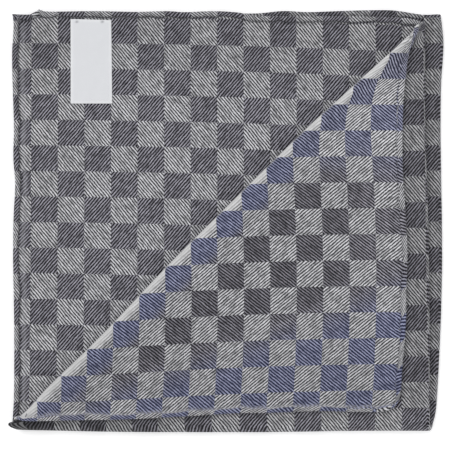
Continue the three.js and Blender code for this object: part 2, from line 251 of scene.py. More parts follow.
@dataclass(frozen=True)
class Corner:
    """The turned-back corner: its crease, its two hems and where they meet."""

    crease_from: Two = (-77.4, -74.5)
    crease_to: Two = (75.5, 75.7)
    bow: Line = Line(
        (-8.0, -3.4, -1.2, 0.5, 5.7, 10.6, 20.0, 30.0, 45.0, 60.0, 75.0, 90.0, 155.0,
         170.0, 180.0, 190.0, 198.0, 204.0, 209.0, 211.4, 213.2, 217.0),
        (4.0, 2.5, 1.4, 0.9, 0.7, 1.2, 1.4, 1.2, 1.2, 1.7, 2.3, 2.6, 2.66,
         2.05, 1.7, 1.3, 0.9, 0.72, 0.75, 1.05, 1.7, 2.8),
    )
    roll_radius: Line = Line(
        (-3.0, 4.0, 18.0, 60.0, 150.0, 190.0, 205.0, 213.0),
        (0.8, 0.95, 1.5, 1.75, 1.75, 1.6, 1.15, 0.8),
    )
    crest_reach: float = 7.0
    settled: Ramp = Ramp(0.0, 12.0, 0.0, 0.6)
    ripple_shift: Two = (9.0, -5.0)
    upper_tip: float = 75.1
    lower_tip: float = -80.6
    upper_flap: float = 72.6
    lower_flap: float = -77.0
    meeting: Two = (64.9, -69.9)
    draw_in: Ramp = Ramp(0.87, 1.0)
    nib_length: float = 10.0
    right_hem: Line = Line(
        (-69.9, -66.0, -55.0, -37.0, -27.0, -12.7, 7.0, 25.0, 44.0, 55.0, 62.0, 66.0,
         66.9, 68.5, 70.1, 71.5, 72.6),
        (64.9, 66.4, 67.2, 68.6, 68.6, 69.1, 68.1, 67.2, 67.5, 68.4, 69.3, 70.3,
         70.9, 71.45, 72.05, 72.7, 73.35),
    )
    bottom_hem: Line = Line(
        (-77.0, -75.2, -72.5, -53.0, -43.0, -24.0, 5.0, 16.0, 36.0, 50.0, 61.0, 64.9),
        (-75.6, -75.7, -75.8, -75.4, -75.3, -74.5, -72.8, -72.7, -72.0, -72.3, -72.0, -69.9),
    )


@dataclass(frozen=True)
class RolledHem:
    """The roll along the edges of the cloth, which stands proud of its label side."""

    width: float = 2.2
    rise: float = 0.66
    belly: float = 0.1
    end_round: float = 0.55
    thinnest: float = 0.03
    rows: Numbers = (0.05, 0.15, 0.3, 0.55, 0.88, 1.25, 1.6, 1.88, 2.06, 2.2)
    over_roll: float = 1.25
    stitch_pitch: float = 7.0
    sharpness: int = 16
    pull: float = 0.3
    draw: float = 0.35
    waver: float = 0.34
    waver_reach: float = 7.0
    swelling: float = 0.16
    swelling_shift: float = 40.0
    pucker: float = 0.1
    pucker_start: Ramp = Ramp(1.5, 4.0)
    pucker_reach: float = 9.0
    pucker_wander: float = 0.7
    wander: tuple[Four, ...] = ((0.55, 3.7, 1.9, 17.0), (0.45, 1.63, 1.2, 7.1))  # share, length, bends
    runs_apart: float = 350.0
    pressed: Two = (0.5, 2.0)
    gathered: Two = (1.0, 3.0)

    def unevenness(self, run: Array) -> Array:
        """How the rolling by hand varies along a hem, from about -1 to 1."""
        return sum(share * np.sin(run / length + bend * np.sin(run / slow))
                   for share, length, bend, slow in self.wander)

    def stitch_pull(self, run: Array) -> Array:
        """How hard the thread draws the roll in, from 0 to 1 at each stitch."""
        return np.cos(math.pi * run / self.stitch_pitch) ** self.sharpness


@dataclass(frozen=True)
class Ripple:
    """Small uneven waves that handling leaves in the upper layers."""

    slow: float = 0.09
    slow_lengths: Four = (13.0, 29.0, 17.0, 23.0)
    slow_bends: Two = (1.7, -0.8)
    fine: float = 0.04
    fine_lengths: Three = (6.3, 11.0, 9.1)
    fine_slope: float = -0.6

    def at(self, x: Array, y: Array) -> Array:
        """Gives the height of the waves.

        Args:
            x, y: Places on the plan.

        Returns:
            Heights in millimetres.
        """
        first, second, third, fourth = self.slow_lengths
        slow = np.sin(x / first + self.slow_bends[0] * np.sin(y / second))
        slow = slow * np.sin(y / third + self.slow_bends[1] * np.sin(x / fourth))
        first, second, third = self.fine_lengths
        fine = np.sin((x + y) / first + np.sin(x / second)) * np.sin((x + self.fine_slope * y) / third)
        return self.slow * slow + self.fine * fine


@dataclass(frozen=True)
class Drift:
    """How far handling has pulled the checks along at the two tips of the flap."""

    upper: float = 1.33
    upper_from: float = 130.0
    upper_length: float = 75.0
    upper_most: float = 1.15
    upper_reach: float = 6.1
    growth: float = 0.7
    growth_power: int = 6
    lower: float = 0.39
    lower_from: float = -3.0
    lower_length: float = 14.0
    lower_reach: float = 30.0
    lower_rows: float = 0.8

    def at(self, along: Array, inside: Array) -> Array:
        """Gives what to add to the column and row numbers.

        Args:
            along: Length along the crease.
            inside: Length from the crease into the flap.

        Returns:
            The two shifts.
        """
        inside = np.maximum(inside, 0.0)
        near = np.clip((along - self.upper_from) / self.upper_length, 0.0, self.upper_most)
        reach = self.upper_reach * (1.0 + self.growth * near**self.growth_power)
        upper = self.upper * near**2 * np.exp(-inside / reach)
        off_lower = np.maximum(along, self.lower_from) / self.lower_length + inside / self.lower_reach
        lower = self.lower * np.exp(-off_lower)
        return pair(lower, upper + self.lower_rows * lower)


@dataclass(frozen=True)
class PaintedLightMap:
    """Where light and shade are painted on the cloth: a blue sheen on the dark checks, and lighter or darker
    places.

    The levels go by the place to the right (x), away from the bottom fold (y), or past the
    outermost line of the crease (past).
    """

    # Masks of the painted blue sheen on the dark checks: beside the crease, towards the upper tip and along
    # the bottom hem of the flap.
    crease_past: Ramp = Ramp(7.5, 14.5, 1.0, 0.0)
    crease_y: Ramp = Ramp(15.0, 55.0, 1.0, 0.4)
    tip_y: Ramp = Ramp(10.0, 34.0, 0.0, 0.75)
    tip_end_y: Ramp = Ramp(45.0, 62.0, 1.0, 0.6)
    hem_middle: Two = (-50.0, 0.35)  # its y in the middle, and its slope
    hem_y: Ramp = Ramp(-11.0, 11.0, 1.0, 0.0)
    # Painted shade: the grey of the dark checks deepens towards the lower left of the flap.
    grey_shade_x: Ramp = Ramp(35.0, 62.0, 0.3, 0.0)
    grey_shade_y: Ramp = Ramp(10.0, 34.0, 1.0, 0.0)
    # Painted shading of the sides: the plain side is darker all over, and painted shadow darkens the strip of
    # the first layer below the flap's bottom hem, most at the left.
    plain: float = 0.68
    shadow_under_flap_x: tuple[Ramp, Ramp] = (Ramp(-74.0, -60.0, 0.22, 0.55), Ramp(-46.0, 12.0, 0.0, 0.29))
    shadow_under_flap_y: Ramp = Ramp(-75.0, -68.0, 1.0, 0.0)
    # Painted shade on the second layer, darker towards its top and its left.
    second_shade_y: Ramp = Ramp(45.0, 70.0, 0.97, 0.84)
    second_shade_x: Ramp = Ramp(-70.0, -50.0, -0.05, 0.0)
    # Painted light and shade on the flap: lighter towards its upper part away from the crease and towards its
    # right hem, darker towards its bottom.
    flap_light_y: Ramp = Ramp(8.0, 42.0, 0.0, 0.16)
    flap_light_past: Ramp = Ramp(3.0, 12.0)
    flap_shade_y: Ramp = Ramp(-62.0, -30.0, -0.09, 0.0)
    flap_light_x: Ramp = Ramp(45.0, 65.0, 0.96, 1.01)

    def blue(self, past: Array, x: Array, y: Array) -> Array:
        """How much painted blue sheen the dark checks get on the flap.

        Args:
            past: Length past the outermost line of the crease.
            x, y: Places on the plan.

        Returns:
            Shares up to 1, below zero where painted shade deepens the grey instead.
        """
        # Painted blue sheen beside the crease, towards the upper tip and along the bottom hem.
        by_crease = self.crease_past.at(past) * self.crease_y.at(y)
        by_tip = self.tip_y.at(y) * self.tip_end_y.at(y)
        by_hem = self.hem_y.at(y - self.hem_middle[0] - self.hem_middle[1] * x)
        blue = np.maximum(np.maximum(by_crease, by_tip), by_hem)
        # Painted shade deepens the grey towards the lower left of the flap, less where there is sheen.
        deep = self.grey_shade_x.at(x) * self.grey_shade_y.at(y)
        return np.where(past > 0.0, blue - deep * (1.0 - blue), 0.0)

    def sides(self, past: Array, x: Array, y: Array, on_first: Array) -> Array:
        """Painted shading of the two sides.

        Args:
            past: Length past the outermost line of the crease.
            x, y: Places on the plan.
            on_first: 1 on the first layer and the fold that holds it, 0 elsewhere.

        Returns:
            Shares of the full tone, for the plain side and then for the other.
        """
        # Painted shadow on the strip of the first layer below the flap's bottom hem, deepest at the left; the
        # plain side is darker all over.
        shadow_under_flap = self.shadow_under_flap_x[0].at(x) + self.shadow_under_flap_x[1].at(x)
        plain = mix(self.plain, shadow_under_flap, self.shadow_under_flap_y.at(y) * on_first)
        # Painted shade on the second layer towards its top and left.
        second = self.second_shade_y.at(y) + self.second_shade_x.at(x)
        # Painted light and shade on the flap.
        flap = self.flap_light_x.at(x) + self.flap_light_y.at(y) * self.flap_light_past.at(past) + self.flap_shade_y.at(y)
        return np.concatenate([plain, np.where(past > 0.0, flap, second)])


@dataclass
class FoldedCloth:
    """The whole cloth, folded, with its rolled hem and its woven checks.

    A place on the flat square is given by s and t, from -1 to 1 between the hems. The second
    and third layers have s above zero, the first and second have t above zero. The build sets
    shift, which goes from the places of the fold to those of the scene.
    """

    sheet: float = 0.55
    pitch: float = 1.35
    stack_rise: float = 0.45
    clear_of_hem: Ramp = Ramp(3.4, 20.0)
    swell: float = 0.3
    swell_x: float = 24.0
    swell_y: float = 31.0
    bend: float = 0.02
    bend_steps: int = 12
    fold_line: float = 3.0
    plain_steps: int = 62
    lift_lines: Numbers = (20.0, 18.0, 16.0, 14.0, 12.0, 10.0, 8.2, 6.5, 5.2, 4.1, 3.3, 2.65)
    half_length: float = 156.0
    roll_steps: int = 10
    flap_lines: Numbers = (1.0, 3.0, 7.0, 12.0, 18.0)
    snap: float = 0.12
    cut_rounds: int = 24
    flat_step: float = 1e-5
    weave_turn: Two = (-2.5, 0.4)  # start, and end as a share of the roll
    fold_shift: float = 0.15
    fold_shift_middle: float = -20.0
    fold_shift_width: float = 33.0
    fold_shift_y: Ramp = Ramp(-66.0, -50.0, 1.0, 0.0)
    seen_from_above: float = 0.6
    # Where the painted highlight along the crease starts, and the distance given to places without it.
    crest_before: float = -1.2
    far: float = 99.0
    margin: float = 0.01
    tiny: float = 1e-9
    # Fades the painted highlight along the crease towards the upper tip.
    crest_highlight_fade: Ramp = Ramp(56.0, 76.0, 0.0, 2.2)
    # Painted shade in the grooves beside the hems, with its width and depths; a depth below zero mixes in a
    # lighter grey instead. The streak is lighter, beside the left hem of the second layer.
    groove_width: float = 0.45
    groove_depths: Three = (1.0, 0.3, -0.9)  # off the flap, at its right hem, at its bottom hem
    left_streak: Three = (0.55, 3.7, 0.7)  # share, place and width
    outline: Outline = Outline()
    corner: Corner = Corner()
    hem: RolledHem = RolledHem()
    ripple: Ripple = Ripple()
    drift: Drift = Drift()
    painted_light: PaintedLightMap = PaintedLightMap()
    grids: dict[Layer, CheckGrid] = field(default_factory=lambda: {
        Layer.FIRST: CheckGrid((25.49, -9.85, -0.14), (8.76, 0.0, -10.23)),
        Layer.SECOND: CheckGrid(
            (10.315, 9.88, 0.0, 0.02, 0.08, 0.03), (8.83, -0.33, -10.18, -0.16, 0.13, -0.02)),
        Layer.THIRD: CheckGrid((9.6, 9.81), (25.0, 0.0, 10.3)),
        Layer.FOURTH: CheckGrid((25.6, -9.67, 0.0, 0.0, 0.24), (25.04, 0.25, 10.3)),
    })
    flap_grid: CheckGrid = CheckGrid(
        (25.405, 0.37, -10.07, -0.3, -0.12, -0.04), (8.645, -9.99, -0.395, 0.1, 0.11, -0.73))
    shift: Array = field(init=False)

    def __post_init__(self) -> None:
        """Works out the crease, the tips of the turned-back corner and the plan of each layer."""
        self.crease_start = np.array(self.corner.crease_from)
        way = np.array(self.corner.crease_to) - self.crease_start
        self.crease = way / np.linalg.norm(way)
        self.across = np.array([-self.crease[1], self.crease[0]])
        upper, lower = self.corner.upper_tip, self.corner.lower_tip
        self.upper_tip = pair(self.turn_right_upper(np.float64(upper)), upper)
        self.lower_tip = pair(lower, self.turn_bottom(np.float64(lower)))
        lines = self.outline
        self.second_plan = self.layer_plan(self.turn_right_upper, lines.left_upper.at, lines.top_upper.at)
        self.lower_plan = self.layer_plan(self.turn_right_lower, lines.left_lower.at, lines.top_lower.at)
        self.first_plan = self.turned_plan()

    def height(self, layer: Layer, x: Array, y: Array) -> Array:
        """Height of the middle of a layer over the surface.

        Args:
            layer: The layer to look at.
            x, y: Places on the plan.

        Returns:
            Heights in millimetres.
        """
        inside = self.clear_of_hem.at(x - self.outline.left) * self.clear_of_hem.at(self.outline.top - y)
        hems = 2.0 * self.stack_rise * (1.0 - inside)
        slack = self.swell * (1.0 + np.sin(x / self.swell_x) * np.cos(y / self.swell_y)) / 2.0
        fourth = np.full_like(slack, self.sheet / 2.0)
        third = fourth + self.pitch + hems + slack
        second = third + self.pitch + slack
        first = second + self.pitch + hems + slack
        return dict(zip(Layer, (first, second, third, fourth)))[layer]

    def half_fold(self, upper: Layer, lower: Layer, x: Array, y: Array) -> Array:
        """Half of the height of a fold that joins two layers."""
        return (self.height(upper, x, y) - self.height(lower, x, y) + self.sheet) / 2.0

    def turn_right_upper(self, y: Array) -> Array:
        """Where the fold between the first two layers starts to turn."""
        x = self.outline.fold_upper.at(y)
        return x - self.half_fold(Layer.FIRST, Layer.SECOND, x, y)

    def turn_right_lower(self, y: Array) -> Array:
        """Where the fold between the last two layers starts to turn."""
        x = self.outline.fold_lower.at(y)
        return x - self.half_fold(Layer.THIRD, Layer.FOURTH, x, y)

    def turn_bottom(self, x: Array) -> Array:
        """Where the bottom fold starts to turn."""
        y = self.outline.fold_bottom.at(x)
        return y + self.half_fold(Layer.FIRST, Layer.FOURTH, x, y)

    def along_crease(self, plan: Array) -> Array:
        """Length along the crease from its lower end."""
        return (plan - self.crease_start) @ self.crease

    def roll_length(self, plan: Array) -> Array:
        """Length of cloth in the roll of the crease."""
        return math.pi * self.corner.roll_radius.at(self.along_crease(plan))

    def beyond_roll(self, plan: Array) -> Array:
        """Distance past the line where the roll of the crease starts."""
        along = self.along_crease(plan)
        start = self.corner.bow.at(along) - self.corner.roll_radius.at(along) - self.sheet / 2.0
        return (plan - self.crease_start) @ self.across - start

    def unroll(self, plan: Array) -> Array:
        """Where places on the flap would lie if the first layer were not turned back."""
        inside = -self.beyond_roll(plan)
        return plan + self.across * (2.0 * inside + self.roll_length(plan))[..., None]

    def hem_from_tip(self, tip: Array, flap: Edge, share: Array, start: float) -> Array:
        """Follows a hem of the first layer, opened out, from a tip to the free corner.

        Args:
            tip: Where the hem leaves the fold that holds the first layer.
            flap: The hem's place on the turned-back corner at a share of its length.
            share: How far along the hem, from 0 at the tip to 1 at the free corner.
            start: The share at which the hem has come round the roll.

        Returns:
            Places on the plan of the opened layer.
        """
        opened = self.unroll(flap(np.maximum(share, start)))
        round_roll = mix(tip, self.unroll(flap(np.float64(start))), (share / start)[..., None])
        return np.where((share < start)[..., None], round_roll, opened)

    @staticmethod
    def meet(x_at: Edge, y_at: Edge, start: Sequence[float], rounds: int = 20) -> Array:
        """Finds where two lines cross.

        Args:
            x_at: Gives x on one line at a place y.
            y_at: Gives y on the other line at a place x.
            start: A place near the crossing.
            rounds: How often the two lines are followed in turn.

        Returns:
            The crossing.
        """
        x, y = start
        for _ in range(rounds):
            x = float(x_at(np.float64(y)))
            y = float(y_at(np.float64(x)))
        return np.array([x, y])

    @staticmethod
    def patch(right: Edge, left: Edge, lower: Edge, upper: Edge) -> Plan:
        """Fills the surface between four edges.

        Args:
            right: Edge at a = 0, as a function of b.
            left: Edge at a = 1, as a function of b.
            lower: Edge at b = 0, as a function of a.
            upper: Edge at b = 1, as a function of a.

        Returns:
            A function of a and b that gives places on the plan.
        """
        low, high = np.float64(0.0), np.float64(1.0)
        corners = [right(low), right(high), left(low), left(high)]

        def surface(a: Array, b: Array) -> Array:
            """Place on the patch."""
            ga, gb = a[..., None], b[..., None]
            edges = mix(right(b), left(b), ga) + mix(lower(a), upper(a), gb)
            return edges - mix(mix(corners[0], corners[1], gb), mix(corners[2], corners[3], gb), ga)

        return surface

    def layer_plan(self, right_x: Edge, left_x: Edge, upper_y: Edge) -> Plan:
        """Plan of a layer between its two upright edges, its upper edge and the bottom fold.

        Args:
            right_x: x of the right edge at a place y.
            left_x: x of the left edge at a place y.
            upper_y: y of the upper edge at a place x.

        Returns:
            A function of the shares from right to left and from bottom to top.
        """
        box = self.outline
        lower_right, lower_left, upper_right, upper_left = (
            self.meet(x_at, y_at, (x, y)) for y_at, y in ((self.turn_bottom, box.bottom), (upper_y, box.top))
            for x_at, x in ((right_x, box.right), (left_x, box.left)))

        def upright(x_at: Edge, low: Array, high: Array) -> Edge:
            """An edge that runs up the plan."""
            return lambda b: pair(x_at(mix(low[1], high[1], b)), mix(low[1], high[1], b))

        def level(y_at: Edge, low: Array, high: Array) -> Edge:
            """An edge that runs across the plan."""
            return lambda a: pair(mix(low[0], high[0], a), y_at(mix(low[0], high[0], a)))

        return self.patch(
            upright(right_x, lower_right, upper_right), upright(left_x, lower_left, upper_left),
            level(self.turn_bottom, lower_right, lower_left), level(upper_y, upper_right, upper_left))

    def turned_plan(self) -> Plan:
        """Plan of the first layer with its corner opened out flat.

        Returns:
            A function of the shares from right to left and from bottom to top.
        """
        box, corner = self.outline, self.corner
        lower_right = self.meet(self.turn_right_upper, self.turn_bottom, (box.right, box.bottom))
        second_upper = self.meet(self.turn_right_upper, box.top_upper.at, (box.right, box.top))
        fourth_left = self.meet(box.left_lower.at, self.turn_bottom, (box.left, box.bottom))
        corner_x, corner_y = corner.meeting
        upper_start = (corner.upper_tip - corner.upper_flap) / (corner.upper_tip - corner_y)
        lower_start = (corner.lower_flap - corner.lower_tip) / (corner_x - corner.lower_tip)

        def draw_in(start: float, joined: float, tip: float, share: Array) -> Array:
            """Runs level with the layer that the fold joins, then draws in to the tip."""
            return mix(start, joined, share) + (tip - joined) * corner.draw_in.at(share)

        def right(b: Array) -> Array:
            """The fold at the right."""
            y = draw_in(lower_right[1], second_upper[1], self.upper_tip[1], b)
            return pair(self.turn_right_upper(y), y)

        def lower(a: Array) -> Array:
            """The fold at the bottom."""
            x = draw_in(lower_right[0], fourth_left[0], self.lower_tip[0], a)
            return pair(x, self.turn_bottom(x))

        def flap_right(share: Array) -> Array:
            """The right hem as it lies on the turned-back corner."""
            y = mix(self.upper_tip[1], corner_y, share)
            return pair(corner.right_hem.at(y), y)

        def flap_bottom(share: Array) -> Array:
            """The bottom hem as it lies on the turned-back corner."""
            x = mix(self.lower_tip[0], corner_x, share)
            return pair(x, corner.bottom_hem.at(x))

        return self.patch(
            right, lambda b: self.hem_from_tip(self.lower_tip, flap_bottom, b, lower_start),
            lower, lambda a: self.hem_from_tip(self.upper_tip, flap_right, a, upper_start))

    def first_layer(self, a: Array, b: Array) -> Array:
        """Middle of the first layer: flat, round the roll of its crease, or back over itself.

        Args:
            a, b: Shares from the two folds to the hems.

        Returns:
            Places in millimetres.
        """
        plan, corner = self.first_plan(a, b), self.corner
        beyond = self.beyond_roll(plan)
        radius = self.roll_length(plan) / math.pi
        on_line = plan - self.across * np.maximum(beyond, 0.0)[..., None]
        angle = np.clip(beyond / radius, 0.0, math.pi)
        inside = np.maximum(beyond - math.pi * radius, 0.0)
        place = on_line + self.across * (radius * np.sin(angle) - inside)[..., None]
        x, y = place[..., 0], place[..., 1]
        crest = (2.0 * radius - self.pitch) * hill(inside, corner.crest_reach)
        ripple = self.ripple.at(x + corner.ripple_shift[0], y + corner.ripple_shift[1])
        flap = self.pitch + crest + ripple * corner.settled.at(inside)
        over = np.where(inside > 0.0, flap, radius * (1.0 - np.cos(angle)))
        level = self.height(Layer.FIRST, x, y) + self.ripple.at(x, y) + over
        return np.concatenate([place, level[..., None]], axis=-1)

    def flat_layer(self, layer: Layer, a: Array, b: Array) -> Array:
        """Middle of a layer that lies flat.

        Args:
            layer: The layer to look at.
            a, b: Shares from the two folds to the hems.

        Returns:
            Places in millimetres.
        """
        plan = (self.second_plan if layer is Layer.SECOND else self.lower_plan)(a, b)
        x, y = plan[..., 0], plan[..., 1]
        ripple = self.ripple.at(x, y) if layer is Layer.SECOND else 0.0
        return np.concatenate([plan, (self.height(layer, x, y) + ripple)[..., None]], axis=-1)

    def shares(self, s: Array, t: Array) -> tuple[Array, Array]:
        """How far places lie from the two folds to the hems, from 0 to 1."""
        return (np.abs(s) - self.bend) / (1.0 - self.bend), (np.abs(t) - self.bend) / (1.0 - self.bend)

    @staticmethod
    def by_layer(s: Array, t: Array, first: Array, second: Array, third: Array, fourth: Array) -> Array:
        """Takes the value for each place from the layer that it lies on."""
        right, upper = (s > 0)[..., None], (t > 0)[..., None]
        return np.where(upper, np.where(right, second, first), np.where(right, third, fourth))

    def off_folds(self, s: Array, t: Array) -> Array:
        """Middle of the cloth outside the two folds.

        Args:
            s, t: Places on the flat square.

        Returns:
            Places in millimetres.
        """
        a, b = self.shares(s, t)
        flat = (self.flat_layer(layer, a, b) for layer in (Layer.SECOND, Layer.THIRD, Layer.FOURTH))
        return self.by_layer(s, t, self.first_layer(a, b), *flat)

    @staticmethod
    def go_round(start: Array, end: Array, outward: Sequence[float], turn: Array) -> Array:
        """Goes round a fold from one layer to another.

        Args:
            start: Where the fold starts.
            end: Where the fold ends.
            outward: The way in which the fold stands out.
            turn: How far round, from -1 to 1.

        Returns:
            Places round the fold.
        """
        angle = np.clip(turn, -1.0, 1.0) * math.pi / 2.0
        half = (end - start) / 2.0
        bulge = np.abs(half[..., 2]) * np.cos(angle)
        return (start + end) / 2.0 + half * np.sin(angle)[..., None] + np.array(outward) * bulge[..., None]

    def off_bottom(self, s: Array, t: Array) -> Array:
        """Middle of the cloth outside the bottom fold.

        Args:
            s, t: Places on the flat square.

        Returns:
            Places in millimetres.
        """
        edge = np.full_like(s, self.bend)
        start, end = self.off_folds(edge, t), self.off_folds(-edge, t)
        turned = self.go_round(start, end, (1.0, 0.0, 0.0), -s / self.bend)
        return np.where((np.abs(s) < self.bend)[..., None], turned, self.off_folds(s, t))

    def place(self, s: Array, t: Array) -> Array:
        """Middle of the cloth at places on the flat square.

        Args:
            s, t: Places on the flat square.

        Returns:
            Places in millimetres.
        """
        edge, turn = np.full_like(t, self.bend), t / self.bend
        turned = self.go_round(self.off_bottom(s, -edge), self.off_bottom(s, edge), (0.0, -1.0, 0.0), turn)
        reach = self.outline.nib_reach.at(-turned[..., 0]) * (s < 0.0)
        turned[..., 0] += reach * self.outline.nib.at(np.clip(turn, -1.0, 1.0))
        return np.where((np.abs(t) < self.bend)[..., None], turned, self.off_bottom(s, t))

    def plain_side(self, s: Array, t: Array) -> Array:
        """Way out of the side without the rolled hem.

        Args:
            s, t: Places on the flat square.

        Returns:
            Directions of length 1.
        """
        step = self.flat_step
        along_s = self.place(np.minimum(s + step, 1.0), t) - self.place(np.maximum(s - step, -1.0), t)
        along_t = self.place(s, np.minimum(t + step, 1.0)) - self.place(s, np.maximum(t - step, -1.0))
        out = np.cross(along_s, along_t)
        return out / np.linalg.norm(out, axis=-1, keepdims=True)

    def from_edge(self, s: Array, t: Array) -> Array:
        """Length from a place on the cloth to its nearest hem edge."""
        return (1.0 - np.maximum(np.abs(s), np.abs(t))) * self.half_length

    def clear_of_folds(self, s: Array, t: Array, low: float, high: float) -> Array:
        """Rises from 0 at a fold to 1 away from it, between low and high times the bend."""
        return Ramp(low * self.bend, high * self.bend).at(np.minimum(np.abs(s), np.abs(t)))

    def hem_run(self, s: Array, t: Array) -> Array:
        """Length along the nearest hem from its middle.

        Args:
            s, t: Places on the flat square.

        Returns:
            Lengths in millimetres, told apart from one hem to the next.
        """
        by_side = np.abs(s) > np.abs(t)
        number = np.where(by_side, np.where(s > 0, 0.0, 1.0), np.where(t > 0, 2.0, 3.0))
        return np.where(by_side, t, s) * self.half_length + self.hem.runs_apart * number

    def side_offsets(self, s: Array, t: Array) -> tuple[Array, Array]:
        """How far the two sides stand off the middle of the cloth.

        Args:
            s, t: Places on the flat square.

        Returns:
            The offsets of the plain side and of the side with the rolled hem.
        """
        hem, edge, run = self.hem, self.from_edge(s, t), self.hem_run(s, t)
        rounding = 1.0 - np.clip(edge / hem.end_round, 0.0, 1.0)
        half = np.maximum(self.sheet / 2.0 * np.sqrt(1.0 - rounding**2), hem.thinnest)
        over = np.clip(edge / hem.width, 0.0, 1.0) * 2.0 - 1.0
        swelling = hem.swelling * hem.unevenness(run + hem.swelling_shift)
        uneven = 1.0 + swelling - hem.pull * hem.stitch_pull(run)
        roll = self.clear_of_folds(s, t, *hem.pressed) * uneven * np.sqrt(np.maximum(1.0 - over**2, 0.0))
        return half + hem.belly * roll, half + hem.rise * roll

    def pucker(self, s: Array, t: Array) -> Array:
        """Little gathers that the sewing leaves beside the roll.

        Args:
            s, t: Places on the flat square.

        Returns:
            How far they stand out on the plain side.
        """
        hem, edge, run = self.hem, self.from_edge(s, t), self.hem_run(s, t)
        beside = hem.pucker_start.at(edge) * hill(edge, hem.pucker_reach)
        gather = np.cos(2.0 * math.pi * run / hem.stitch_pitch) + hem.pucker_wander * hem.unevenness(run)
        return hem.pucker * self.clear_of_folds(s, t, *hem.gathered) * beside * gather

    def handled(self, corners: Array) -> Array:
        """Shifts the lines beside the hem a little to and fro, as a hand-made roll does.

        Args:
            corners: Places on the flat square.

        Returns:
            The same places with the inner edge of the roll uneven.
        """
        s, t = corners.T
        hem, edge, run = self.hem, self.from_edge(s, t), self.hem_run(s, t)
        bell = Ramp(0.0, hem.width).at(edge) * Ramp(hem.width, hem.waver_reach, 1.0, 0.0).at(edge)
        inward = bell * (hem.waver * hem.unevenness(run) - hem.draw * hem.stitch_pull(run)) / self.half_length
        by_side = (np.abs(s) > np.abs(t))[:, None] == np.array([True, False])
        return np.where(by_side, corners - np.sign(corners) * inward[:, None], corners)

    def weave_off_folds(self, s: Array, t: Array) -> Array:
        """Column and row numbers of the checks outside the two folds.

        Args:
            s, t: Places on the flat square.

        Returns:
            The two numbers, whole at the borders of the checks.
        """
        a, b = self.shares(s, t)
        plan, lower = self.first_plan(a, b), self.lower_plan(a, b)
        beyond, length = self.beyond_roll(plan), self.roll_length(plan)
        on_flap = plan - self.across * (2.0 * beyond - length)[..., None]
        share = Ramp(self.weave_turn[0], self.weave_turn[1] * length).at(beyond)[..., None]
        flap = self.flap_grid.at(on_flap) + self.drift.at(self.along_crease(plan), beyond - length)
        near_fold = hill(plan[..., 0] - self.fold_shift_middle, self.fold_shift_width)
        by_fold = self.fold_shift * near_fold * self.fold_shift_y.at(plan[..., 1])
        first = mix(self.grids[Layer.FIRST].at(plan) - pair(by_fold, 0.0), flap, share)
        second = self.grids[Layer.SECOND].at(self.second_plan(a, b))
        return self.by_layer(
            s, t, first, second, self.grids[Layer.THIRD].at(lower), self.grids[Layer.FOURTH].at(lower))

    def weave(self, s: Array, t: Array) -> Array:
        """Column and row numbers of the checks at places on the flat square.

        Args:
            s, t: Places on the flat square.

        Returns:
            The two numbers, whole at the borders of the checks.
        """
        def across_folds(u: Array, v: Array) -> Array:
            """Carries the numbers evenly round the upright folds."""
            edge = np.full_like(u, self.bend)
            share = np.clip((u / self.bend + 1.0) / 2.0, 0.0, 1.0)[..., None]
            inside = mix(self.weave_off_folds(-edge, v), self.weave_off_folds(edge, v), share)
            return np.where((np.abs(u) < self.bend)[..., None], inside, self.weave_off_folds(u, v))

        edge = np.full_like(t, self.bend)
        turn = np.clip(t / self.bend, -1.0, 1.0)
        from_above = np.sign(turn) * (1.0 - np.cos(turn * math.pi / 2.0))
        share = (mix(turn, from_above, self.seen_from_above)[..., None] + 1.0) / 2.0
        inside = mix(across_folds(s, -edge), across_folds(s, edge), share)
        return np.where((np.abs(t) < self.bend)[..., None], inside, across_folds(s, t))

    def weave_on_roll(self, corners: Array, flat: Array) -> Array:
        """Column and row numbers on top of the rolled hem, where the cloth has turned over.

        Args:
            corners: Places on the flat square.
            flat: The numbers there, as if the hem were not rolled.

        Returns:
            The numbers on the roll.
        """
        on_roll = self.half_length * (1.0 - np.abs(corners)) <= self.hem.width
        at_edge = self.weave(*np.where(on_roll, np.sign(corners), corners).T)
        return at_edge + self.hem.over_roll * (at_edge - flat)

    def divisions(self) -> list[float]:
        """Lines that divide the cloth.

        Returns:
            Their places, from -1 to 1 between the hems.
        """
        turns = [2.0 * self.bend * i / self.bend_steps for i in range(self.bend_steps // 2)]
        hems = [1.0 - length / self.half_length
                for length in (*self.lift_lines, *reversed(self.hem.rows), 0.0)]
        past = self.bend + self.fold_line / self.half_length
        plain = [mix(past, hems[0], i / self.plain_steps) for i in range(self.plain_steps)]
        half = [*turns, self.bend, *plain, *hems]
        return [-line for line in reversed(half[1:])] + half

    def past_roll_start(self, corners: Array) -> Array:
        """Length past the start of the roll on the first layer.

        Args:
            corners: Places on the flat square.

        Returns:
            Lengths in millimetres, far below zero on the other layers.
        """
        s, t = corners.T
        on_first = (s <= -self.bend) & (t >= self.bend)
        return np.where(on_first, self.beyond_roll(self.first_plan(*self.shares(s, t))), -self.half_length)

